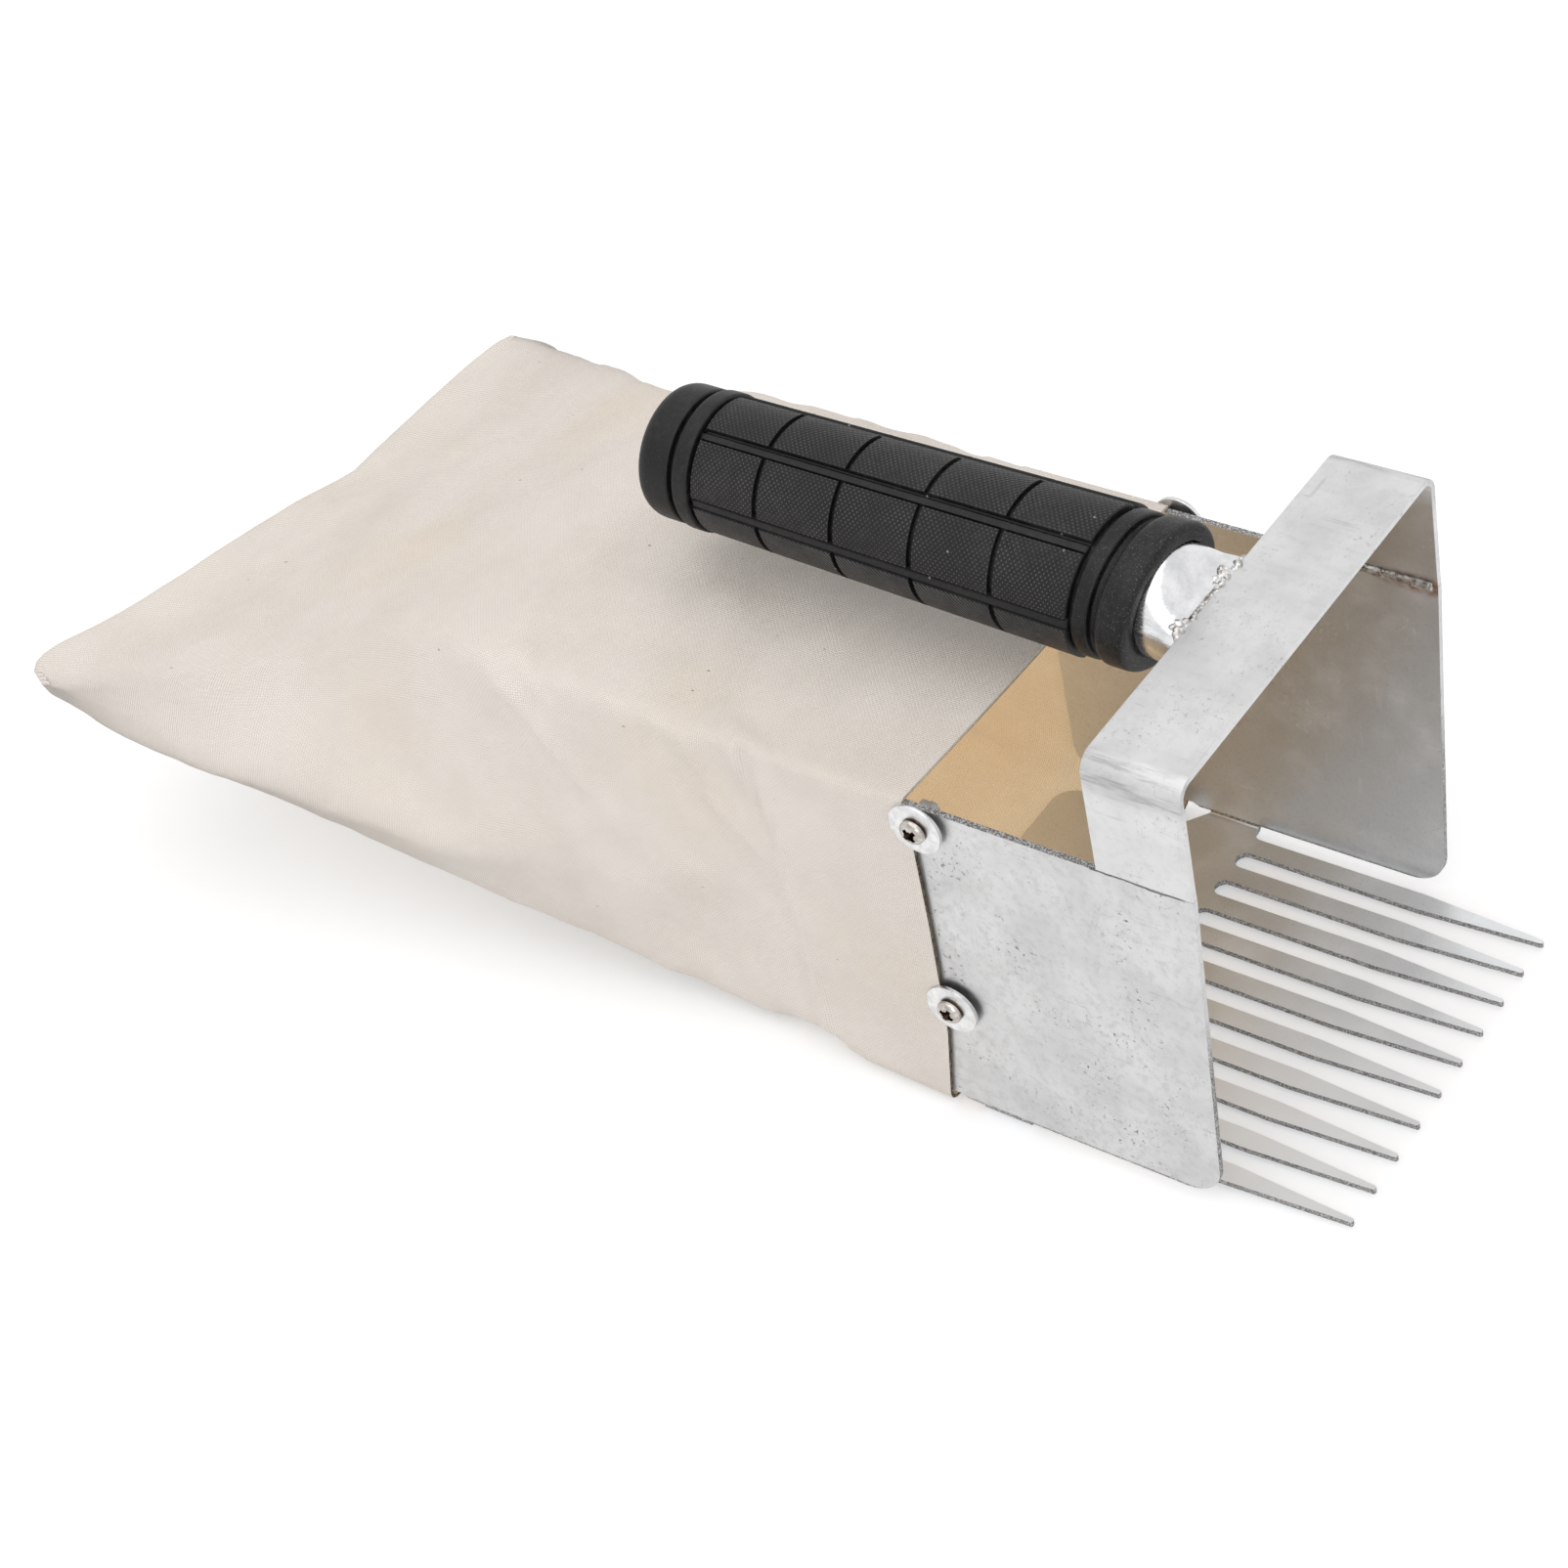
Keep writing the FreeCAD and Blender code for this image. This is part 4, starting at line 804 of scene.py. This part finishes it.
CORNER_SHARES = [0.0, SIDE_SHARE / 2, SIDE_SHARE, 0.5, 0.5 + SIDE_SHARE / 2, 0.5 + SIDE_SHARE, 1.0]
# The front edge of the canvas on a side: how high, and how far back.
FRONT_EDGE = [(-1.1, 69.8), (3.0, 69.3), (13.0, 67.9), (25.0, 66.2), (40.0, 65.6), (60.0, 64.9),
              (95.1, 64.4)]
# How far the flat end lies back of its mean, across the bag.
REAR_EDGE = [(-79.5, 4.0), (-78.0, 6.5), (-76.4, 11.0), (-73.6, 14.0), (-70.0, 15.2), (-65.6, 14.3),
             (-60.5, 11.9), (-55.0, 9.6), (-43.0, 5.4), (-31.0, 2.3), (-19.0, -0.6), (-7.0, -3.4),
             (5.4, -6.6), (16.0, -10.8), (22.0, -12.6), (39.0, -12.3), (56.0, -12.2), (72.4, -12.6),
             (80.0, -13.3), (84.0, -14.4), (86.0, -17.5)]
# The round of the sleeve's lower corners: how far back, and the radius.
CORNER_ROUND = [(64.0, 4.0), (93.0, 5.6), (98.0, 8.0), (102.0, 14.0), (118.0, 16.0)]
TOP_ROUND = 2.4
ROUND_END = 118
# Rounds of smoothing of the loose cloth: how far back each begins, and its passes.
SMOOTHING = [(101.5, 5), (112, 8), (150, 6), (195, 10), (225, 12)]
TRAY_REAR = 100
SEAM_AT = 306
MOUTH_SAG = 0.9


def along_line(points, value):
    """The value of a line through points, given in order, at one place."""
    for (low, start), (high, end) in zip(points, points[1:]):
        if value <= high:
            way = max(0.0, (value - low) / (high - low))
            return start + (end - start) * way
    return points[-1][1]


def section_point(section, share):
    """A place on a section, at a share of the way round it from its lower left corner."""
    corners = list(section[1:]) + [section[1]]
    for number in range(len(CORNER_SHARES) - 1):
        if share <= CORNER_SHARES[number + 1]:
            break
    low, high = CORNER_SHARES[number], CORNER_SHARES[number + 1]
    way = (share - low) / (high - low)
    here, there = corners[number], corners[number + 1]
    return Vector((here[0] + (there[0] - here[0]) * way, section[0],
                   here[1] + (there[1] - here[1]) * way))


def bag_point(share, way):
    """A place on the bag: a share of the way round, and a share of the way back."""
    along = MOUTH + way * (BAG_END - MOUTH)
    number = 0
    while number < len(BAG_SECTIONS) - 2 and along > BAG_SECTIONS[number + 1][0]:
        number += 1
    before = section_point(BAG_SECTIONS[max(number - 1, 0)], share)
    here = section_point(BAG_SECTIONS[number], share)
    there = section_point(BAG_SECTIONS[number + 1], share)
    after = section_point(BAG_SECTIONS[min(number + 2, len(BAG_SECTIONS) - 1)], share)
    t = (along - here.y) / (there.y - here.y)
    if number < 2:
        return here.lerp(there, t)
    leave = (there - before) * ((there.y - here.y) / (there.y - before.y))
    arrive = (after - here) * ((there.y - here.y) / (after.y - here.y))
    return (here * (2 * t ** 3 - 3 * t ** 2 + 1) + there * (3 * t ** 2 - 2 * t ** 3)
            + leave * (t ** 3 - 2 * t ** 2 + t) + arrive * (t ** 3 - t ** 2))


def round_corner(place, low_radius, high_radius):
    """Draw a place near a corner of the sleeve onto the round of that corner."""
    for side in (-1, 1):
        for way, level, radius in ((-1, CLOTH_LOW, low_radius), (1, CLOTH_TOP, high_radius)):
            centre = Vector((side * (CLOTH_OUT - radius), place.y, level - way * radius))
            if side * (place.x - centre.x) > 0 and way * (place.z - centre.z) > 0:
                return centre + (place - centre).normalized() * radius
    return place


# Creases and hollows of the cloth: both ends, the width and the height, outward if above zero.
CREASES = [
    ((-53.6, 102.8, 70), (-53.6, 102.3, 8), 2.2, 1.1),
    ((-53.6, 107.9, 95), (-53.6, 107.4, 80), 1.7, -1.3),
    ((-53.6, 107.4, 80), (-53.6, 104.4, 68), 1.7, -1.1),
    ((-53.6, 105.0, 94), (-53.6, 103.4, 70), 1.6, 0.9),
    ((-53.6, 111.3, 92), (-53.6, 108.6, 76), 1.5, 0.5),
    ((-54, 114.5, 90), (-54, 110.5, 76), 2.4, -0.9),
    ((-53.6, 124, 92), (-54, 119, 74), 2.6, 0.9),
    ((-54, 119, 74), (-53.6, 107, 61), 2.6, 0.9),
    ((-54, 129, 76), (-54, 112, 48), 5.0, -1.3),
    ((-54, 118, 46), (-55, 136, 22), 11.0, -2.8),
    ((-54, 108, 30), (-54, 110, 12), 4.0, -0.8),
    ((-55, 134, 50), (-56, 158, 24), 6.0, 1.2),
    ((-54, 134, 88), (-54, 150, 74), 4.5, -1.0),
    ((-52, 182, 94), (-54, 174, 88), 3.6, 0.8),
    ((-54, 174, 88), (-55, 166, 77), 3.6, 0.9),
    ((-55, 166, 77), (-56, 149, 60), 3.6, 0.8),
    ((-58, 184, 74), (-62, 206, 50), 12.0, -3.3),
    ((-56, 177, 85), (-57, 157, 60), 2.6, -0.8),
    ((-57, 172, 66), (-58, 182, 54), 5.0, -0.9),
    ((-57, 151, 57), (-60, 186, 39), 4.5, 0.9),
    ((-60, 186, 39), (-64, 226, 27), 4.5, 0.7),
    ((-46.5, 173.5, 95), (-54, 165, 90), 1.9, 0.7),
    ((-44.0, 169.5, 95), (-53, 161.5, 91), 1.9, -0.7),
    ((-49, 179, 94.5), (-52, 174.5, 92), 1.5, -0.4),
    ((-50, 101.5, 95.1), (-6, 101.8, 95.1), 2.6, -0.9),
    ((-51, 98.2, 95.1), (-8, 98.4, 95.1), 2.2, 0.5),
    ((-47, 114.5, 95), (-51.6, 103.5, 95), 1.5, 0.5),
    ((-53.6, 109.5, 95), (-44.5, 108, 95), 1.5, -0.5),
    ((-45, 112, 95.1), (10, 140, 95.1), 7.0, -0.9),
    ((-50, 180, 95), (52, 178, 95), 5.0, 0.7),
    ((-30, 250, 78), (30, 285, 64), 9.0, 1.0),
    ((-62, 235, 60), (-30, 262, 72), 7.0, -1.2),
    ((30, 215, 88), (60, 262, 74), 8.0, 0.8),
    ((-64, 262, 58), (-20, 292, 62), 6.0, 0.9),
]


def crease_height(place):
    """How far the cloth stands out at a place, from all creases near it."""
    total = 0.0
    for first, last, width, height in CREASES:
        start, end = Vector(first), Vector(last)
        run = end - start
        way = (place - start).dot(run) / run.length_squared
        beyond = max(0.0, -way, way - 1) * run.length
        aside = (place - start - run * min(max(way, 0.0), 1.0)).length
        if aside < 3 * width:
            total += height * math.exp(-(aside / width) ** 2 - (beyond / width) ** 2)
    return total


def settled(vert):
    """A place on the loose bag, pushed in or out by its creases and by soft random hollows, or
    for the sleeve on the tray, by the sag of its top between the walls."""
    if vert.co.y > TRAY_REAR:
        ease_in = min(1.0, (vert.co.y - TRAY_REAR) / 12)
        settle = min(1.0, max(0.0, (SEAM_AT - vert.co.y) / 20))
        broad = noise.fractal(vert.co / 34, 1.0, 2.0, 3) * 1.1
        fine = noise.fractal(vert.co / 11, 1.0, 2.0, 3) * 0.3
        height = crease_height(vert.co) + (broad + fine) * ease_in * (0.3 + 0.7 * settle)
    elif vert.co.z > CLOTH_TOP - 0.5:
        height = -MOUTH_SAG * (1 - (vert.co.x / CLOTH_OUT) ** 2)
    else:
        height = 0.0
    return vert.co + vert.normal * height


def bag_mesh():
    """The bag, from a flat grid that is wrapped round its sections, smoothed, creased, and cut
    to its slanting mouth and its curved rear edge."""
    shape = bmesh.new()
    layer = shape.loops.layers.uv.new("Cloth")
    bmesh.ops.create_grid(shape, x_segments=ROUND_COLUMNS, y_segments=LENGTH_ROWS, size=0.5)
    perimeter = 4 * CLOTH_OUT + 2 * (CLOTH_TOP - CLOTH_LOW)
    for face in shape.faces:
        face.smooth = True
        for loop in face.loops:
            loop[layer].uv = ((loop.vert.co.x + 0.5) * perimeter * MM,
                              (loop.vert.co.y + 0.5) * (BAG_END - MOUTH) * MM)
    for vert in shape.verts:
        place = bag_point(vert.co.x + 0.5, vert.co.y + 0.5)
        if place.y < ROUND_END:
            place = round_corner(place, along_line(CORNER_ROUND, place.y), TOP_ROUND)
        vert.co = place
    bmesh.ops.remove_doubles(shape, verts=shape.verts, dist=0.01)

    for start, passes in SMOOTHING:
        loose = [vert for vert in shape.verts if start < vert.co.y < SEAM_AT]
        for _ in range(passes):
            bmesh.ops.smooth_vert(shape, verts=loose, factor=0.5,
                                  use_axis_x=True, use_axis_y=False, use_axis_z=True)
    shape.normal_update()
    moved = [settled(vert) for vert in shape.verts]
    for vert, place in zip(shape.verts, moved):
        vert.co = place

    for vert in shape.verts:
        fade = max(0.0, 1 - (vert.co.y - MOUTH) / 20)
        side_edge = along_line(FRONT_EDGE, vert.co.z)
        top_edge = 66.0 - 2.3 * (vert.co.x + CLOTH_OUT) / (2 * CLOTH_OUT)
        edge = top_edge if vert.co.z > CLOTH_TOP - 1.5 else side_edge
        rear = min(1.0, max(0.0, (vert.co.y - 185) / 120))
        vert.co.y += (edge - MOUTH) * fade + along_line(REAR_EDGE, vert.co.x) * rear
    bmesh.ops.recalc_face_normals(shape, faces=shape.faces)
    for edge in shape.edges:
        edge.smooth = not edge.is_boundary
    bmesh.ops.scale(shape, verts=shape.verts, vec=(MM, MM, MM))
    bmesh.ops.translate(shape, verts=shape.verts, vec=at(0, 0, 0))
    return finished(shape, "canvas_bag_cloth")


def weave_group():
    """Plain weave: threads over and under each other, with gaps, thick places and husk flecks."""
    tree, given, result = new_group(
        "Plain weave", [("Place", "NodeSocketVector"), ("Pitch", "NodeSocketFloat")],
        [("Height", "NodeSocketFloat"), ("Thread", "NodeSocketFloat"), ("Fleck", "NodeSocketFloat")])
    place, pitch = given.outputs["Place"], given.outputs["Pitch"]
    waver = grain(tree, place, 220.0, 2.0)
    across, along, _ = add(tree, "SeparateXYZ", {0: place}).outputs
    across = sum_of(tree, "MULTIPLY_ADD", waver, 0.0006, across)
    along = sum_of(tree, "MULTIPLY_ADD", waver, 0.0005, along)
    rounds = []
    for way in (across, along):
        turns = sum_of(tree, "MULTIPLY", sum_of(tree, "DIVIDE", way, pitch), math.pi)
        rounds.append(sum_of(tree, "SINE", turns))
    over = sum_of(tree, "MULTIPLY_ADD", sum_of(tree, "MULTIPLY", rounds[0], rounds[1]), 0.5, 0.5)
    warp = sum_of(tree, "ABSOLUTE", rounds[0])
    weft = sum_of(tree, "ABSOLUTE", rounds[1])
    height = sum_of(tree, "MULTIPLY", sum_of(tree, "MAXIMUM", warp, weft),
                    sum_of(tree, "MULTIPLY_ADD", over, 0.4, 0.6))
    connect(tree, height, result.inputs["Height"])
    slub = grain(tree, stretched(tree, place, (1.0, 0.06, 1.0)), 1400.0, 2.0)
    slub_too = grain(tree, stretched(tree, place, (0.06, 1.0, 1.0)), 1400.0, 2.0)
    connect(tree, sum_of(tree, "MULTIPLY", sum_of(tree, "ADD", slub, slub_too), 0.5),
            result.inputs["Thread"])
    husks = stretched(tree, place, (1.0, 0.6, 1.0))
    cells = add(tree, "TexVoronoi", {"Vector": husks, "Scale": 300.0})
    dot = ease(tree, cells.outputs["Distance"], 0.11, 0.04)
    lot = add(tree, "SeparateColor", {0: cells.outputs["Color"]}).outputs[0]
    chosen = ease(tree, lot, 0.93, 0.95)
    connect(tree, sum_of(tree, "MULTIPLY", dot, chosen), result.inputs["Fleck"])
    return tree


WEAVE = weave_group()
THREAD = 0.55 * MM


def canvas_cloth(name, light, dark, deep, stain, stain_share, glow=0.0):
    """Unbleached cotton canvas: its light and dark tones, the tone of the painted shade in the gaps
    between threads, its stains, and the strength of a painted glow that stands in for the light
    coming through it from behind."""
    material, tree, shader, place = new_material(name)
    mapped = tree.nodes.new("ShaderNodeUVMap")
    mapped.uv_map = "Cloth"
    weave = use_group(tree, WEAVE, Place=mapped.outputs[0], Pitch=THREAD)
    cloud = grain(tree, place, 26.0, 4.0, 0.6)
    tone = mix(tree, ease(tree, cloud, 0.35, 0.7), light, dark)
    warm = ease(tree, grain(tree, place, 17.0, 3.0), 0.5, 0.72, 0.0, stain_share)
    tone = mix(tree, warm, tone, stain)
    # Painted shade: the gaps between threads are darkened towards the deep tone.
    gap_shade = ease(tree, weave.outputs["Height"], 0.8, 0.3, 0.0, 0.7)
    tone = mix(tree, gap_shade, tone, deep)
    tone = mix(tree, ease(tree, weave.outputs["Thread"], 0.45, 0.6, 0.0, 0.3), tone, dark)
    tone = tinted(tree, tone, weave.outputs["Fleck"], 0.6, paint(116, 88, 60))
    connect(tree, tone, shader.inputs["Base Color"])
    shader.inputs["Roughness"].default_value = 0.92
    shader.inputs["Specular IOR Level"].default_value = 0.2
    shader.inputs["Sheen Weight"].default_value = 0.1
    shader.inputs["Sheen Roughness"].default_value = 0.5
    # Painted light: the cloth glows, fading in behind the mouth, for the light that comes through the
    # canvas.
    if glow:
        connect(tree, tone, shader.inputs["Emission Color"])
        behind = ease(tree, y_of(tree, place), back(72), back(90))
        connect(tree, sum_of(tree, "MULTIPLY", behind, glow), shader.inputs["Emission Strength"])
    height = sum_of(tree, "MULTIPLY_ADD", weave.outputs["Thread"], 0.6, weave.outputs["Height"])
    bumps(tree, shader, height, 0.22 * MM)
    return material


def cut_canvas():
    """The cut edge at the mouth of the bag: frayed, and dark below its top edge where it lies on the
    walls, partly dirt and partly a painted shadow of the edge.
    """
    material, tree, shader, place = new_material("Cut canvas")
    z = add(tree, "SeparateXYZ", {0: place}).outputs[2]
    low = ease(tree, z, level(94.2), level(93.0))
    fray = ease(tree, grain(tree, place, 1500.0, 3.0), 0.35, 0.65)
    # Below the top the edge is dark: partly frayed dirt, partly painted shadow where the edge meets
    # the wall.
    frayed_and_shaded = mix(tree, fray, paint(70, 63, 57), paint(132, 122, 111))
    connect(tree, mix(tree, low, paint(214, 200, 182), frayed_and_shaded), shader.inputs["Base Color"])
    shader.inputs["Roughness"].default_value = 0.95
    shader.inputs["Specular IOR Level"].default_value = 0.1
    bumps(tree, shader, fray, 0.2 * MM)
    return material


bag = new_piece("canvas_bag_cloth", bag_mesh(),
                canvas_cloth("Canvas outside", paint(246, 238, 230), paint(236, 227, 218),
                             paint(203, 190, 176), paint(240, 224, 202), 0.5), "canvas_bag")
# The inside is painted warmer and more golden, and glows: painted light for the light that comes
# through the canvas.
bag.data.materials.append(canvas_cloth("Canvas inside with painted glow", paint(232, 216, 190), paint(222, 203, 172),
                                       paint(186, 163, 130), paint(214, 191, 154), 0.6, 0.37))
bag.data.materials.append(cut_canvas())
cloth = bag.modifiers.new("Cloth", "SOLIDIFY")
cloth.thickness = CLOTH * MM
cloth.offset = -1.0
cloth.thickness_clamp = 0.75
cloth.material_offset = 1
cloth.material_offset_rim = 2


# The fasteners: two to a side. A pan-head screw and a wide thin washer outside, a small washer
# and a hexagon nut inside, all bright zinc-plated steel, clamp the canvas to the wall. The screws'
# recesses and a band round the foot of each head are painted dark, as painted shade.
def bright_steel(name, dark, light, roughness):
    """Plated steel, slightly clouded."""
    material, tree, shader, place = new_material(name)
    wear = use_group(tree, METAL_WEAR, Place=place, Cloud_Scale=500.0, Scratch_Scale=3000.0,
                     Pit_Scale=1500.0)
    tone = mix(tree, ease(tree, wear.outputs["Cloud"], 0.3, 0.7), dark, light)
    tone = tinted(tree, tone, wear.outputs["Pit"], 0.15, paint(120, 116, 110))
    connect(tree, tone, shader.inputs["Base Color"])
    shader.inputs["Metallic"].default_value = 1.0
    connect(tree, ease(tree, wear.outputs["Cloud"], 0.2, 0.8, roughness - 0.05, roughness + 0.08),
            shader.inputs["Roughness"])
    bumps(tree, shader, grain(tree, place, 3000.0, 2.0), 0.012 * MM)
    return material


# The screws of a side: how far back, how far up, and how far each has been turned.
SCREW_PLACES = [(62.4, 89.5, 40.0), (63.0, 34.5, 62.0)]
SCREW_AXIS = (0, 0, 1)
HEAD_UNDER = 54.6
SHANK_RADIUS = 1.5
SHANK_LENGTH = 8.0
SHANK_CHAMFER = 0.25
HEAD = [(3.0, 0.0), (3.05, 0.5), (3.02, 0.9), (2.85, 1.25), (2.5, 1.55), (2.0, 1.8), (1.3, 2.0),
        (0.6, 2.1), (0.0, 2.12)]
DOME = [(0.0, 2.12), (1.3, 2.0), (2.0, 1.8), (2.5, 1.5)]
# The cross recess: the length and width of each cut at the top of the head, and its floor.
RECESS_CUTS = [(4.1, 1.2), (1.2, 4.1), (2.1, 2.1)]
RECESS_FLOOR = 0.75
RECESS_REACH = 2.3


def cutter(length, width):
    """A wedge that cuts one slot of a cross recess, narrower at its bottom."""
    shape = bmesh.new()
    bmesh.ops.create_cube(shape, size=1.0)
    for vert in shape.verts:
        deep = vert.co.z < 0
        vert.co.x *= length * (0.4 if deep else 1.1)
        vert.co.y *= width * (0.6 if deep else 1.1)
        vert.co.z = RECESS_FLOOR if deep else HEAD[-1][1] + 0.38
    return finished(shape, "cutter")


def screw_mesh():
    """One screw in millimetres, its axis along Z and the underside of its head at zero."""
    shape = bmesh.new()
    shank = [(0.0, -SHANK_LENGTH), (SHANK_RADIUS - SHANK_CHAMFER, -SHANK_LENGTH),
             (SHANK_RADIUS, -SHANK_LENGTH + SHANK_CHAMFER), (SHANK_RADIUS, 0.0)]
    outline(shape, [(radius, 0.0, up) for radius, up in shank + HEAD])
    turned(shape, 64, SCREW_AXIS, 0.001)
    mesh = finished(shape, "screw")
    for length, width in RECESS_CUTS:
        tool = in_scene("cutter", cutter(length, width))
        mesh = baked(mesh, "BOOLEAN", operation="DIFFERENCE", solver="EXACT", object=tool)
        bpy.data.objects.remove(tool)
    return mesh


def side_screws(side_name, side):
    """Both screws of one side, each with its recess turned its own way."""
    shape = bmesh.new()
    for behind, up, turn in SCREW_PLACES:
        one = bmesh.new()
        one.from_mesh(SCREW)
        for face in one.faces:
            middle = face.calc_center_median()
            radius = math.hypot(middle.x, middle.y)
            # The recess and a band round the foot of the head take the dark recess material: painted
            # shade.
            in_recess = radius < RECESS_REACH and 0.5 < middle.z < along_line(DOME, radius) - 0.06
            under_head = 0.05 < middle.z < 0.4
            face.material_index = 1 if in_recess or under_head else 0
            face.smooth = not in_recess
        outward = Matrix.Rotation(math.radians(90) * side, 4, "Y")
        turned_head = outward @ Matrix.Rotation(math.radians(turn), 4, "Z")
        seated = Matrix.Translation(at(side * HEAD_UNDER, behind, up))
        bmesh.ops.transform(one, matrix=seated @ turned_head @ Matrix.Scale(MM, 4), verts=one.verts)
        shape.from_mesh(finished(one, "screw_turned"))
    mesh = finished(shape, f"bag_screws_{side_name}_heads")
    mesh.set_sharp_from_angle(angle=math.radians(32))
    piece = new_piece(mesh.name, mesh, screw_steel, f"bag_screws_{side_name}")
    piece.data.materials.append(recess_shade_steel)


SCREW = screw_mesh()
washer_steel = bright_steel("Washer steel", paint(205, 205, 206), paint(232, 232, 232), 0.3)
screw_steel = bright_steel("Screw steel", paint(160, 154, 148), paint(208, 202, 196), 0.17)
# Painted shade for the screws' recesses and the foot of their heads.
recess_shade_steel = bright_steel("Recess painted shade", paint(34, 26, 20), paint(70, 54, 42), 0.34)
inner_steel = bright_steel("Inner steel", paint(146, 142, 136), paint(172, 168, 162), 0.4)
for side_name, side in (("left", -1), ("right", 1)):
    side_screws(side_name, side)
    for kind, steel in [("outer_washers", washer_steel), ("inner_washers", inner_steel),
                        ("hex_nuts", inner_steel)]:
        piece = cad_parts[f"{kind}_{side_name}"]
        give(piece, steel)
        break_edges(piece, 0.12 * MM)


# The table and the light: a wide pale table under a soft, even studio light, with one large
# lamp overhead. The camera stands where the photograph was taken from.
TABLE_SIZE = 6.0
TABLE_DROP = 0.4 * MM
SKY = 0.7
TABLE_GLOW = 0.24
WHITE = (1.0, 1.0, 1.0, 1.0)


def camera_share(tree):
    """1 for what the camera, a reflection or clear stuff sees directly, and 0 for other light."""
    rays = tree.nodes.new("ShaderNodeLightPath")
    seen = sum_of(tree, "MAXIMUM", rays.outputs["Is Camera Ray"], rays.outputs["Is Glossy Ray"])
    return sum_of(tree, "MAXIMUM", seen, rays.outputs["Is Transmission Ray"])


def table_material():
    """Matt and nearly white, with a glow that only a direct look at it sees."""
    material = bpy.data.materials.new("Pale table")
    material.use_nodes = True
    tree = material.node_tree
    tree.nodes.clear()
    place = tree.nodes.new("ShaderNodeTexCoord").outputs["Object"]
    tone = mix(tree, grain(tree, place, 3.0), paint(240, 240, 240), paint(243, 243, 243))
    surface = add(tree, "BsdfDiffuse", {"Color": tone})
    seen = sum_of(tree, "MULTIPLY", camera_share(tree), TABLE_GLOW)
    glow = add(tree, "Emission", {"Color": WHITE, "Strength": seen})
    both = add(tree, "AddShader", {0: surface.outputs[0], 1: glow.outputs[0]})
    result = tree.nodes.new("ShaderNodeOutputMaterial")
    tree.links.new(both.outputs[0], result.inputs["Surface"])
    return material


table_shape = bmesh.new()
bmesh.ops.create_grid(table_shape, x_segments=2, y_segments=2, size=TABLE_SIZE / 2)
bmesh.ops.translate(table_shape, verts=table_shape.verts, vec=(0, 0, -TABLE_DROP))
table = in_scene("table", finished(table_shape, "table"))
table.data.materials.append(table_material())

world = bpy.data.worlds.new("Studio")
world.use_nodes = True
bpy.context.scene.world = world
background = world.node_tree.nodes["Background"]
background.inputs["Color"].default_value = WHITE
strength = sum_of(world.node_tree, "MULTIPLY_ADD", camera_share(world.node_tree), 1.0 - SKY, SKY)
world.node_tree.links.new(strength, background.inputs["Strength"])


def soft_lamp(name, stand, power, size, colour):
    """A square lamp that shines at the middle of the tool."""
    lamp = in_scene(name, bpy.data.lights.new(name, "AREA"))
    lamp.data.color = colour
    lamp.data.energy = power
    lamp.data.size = size
    lamp.location = stand
    lamp.rotation_mode = "QUATERNION"
    lamp.rotation_quaternion = (-Vector(stand)).to_track_quat("-Z", "Y")


soft_lamp("overhead_lamp", (-0.35, -0.1, 1.5), 10.8, 2.0, (1.0, 1.0, 1.0))
soft_lamp("side_lamp", (-1.3, -0.9, 0.7), 3.4, 1.0, (0.9, 0.95, 1.0))

# The camera's place and its own axes, solved from the tray's straight edges in the photograph.
LENS = 76.41
CAMERA_SPOT = Vector((-0.4285, -0.41685, 0.5603))
CAMERA_RIGHT = Vector((0.56709, -0.80329, -0.18205))
CAMERA_UP = Vector((0.63031, 0.28094, 0.72374))
camera = in_scene("camera", bpy.data.cameras.new("camera"))
camera.data.lens = LENS
camera.data.sensor_width = 36.0
camera.data.clip_start = 0.01
backward = CAMERA_RIGHT.cross(CAMERA_UP).normalized()
camera_turn = Matrix((CAMERA_RIGHT, CAMERA_UP, backward)).transposed().to_4x4()
camera.matrix_world = Matrix.Translation(CAMERA_SPOT) @ camera_turn
bpy.context.scene.camera = camera
bpy.context.scene.view_settings.view_transform = "Standard"

bpy.context.view_layer.update()
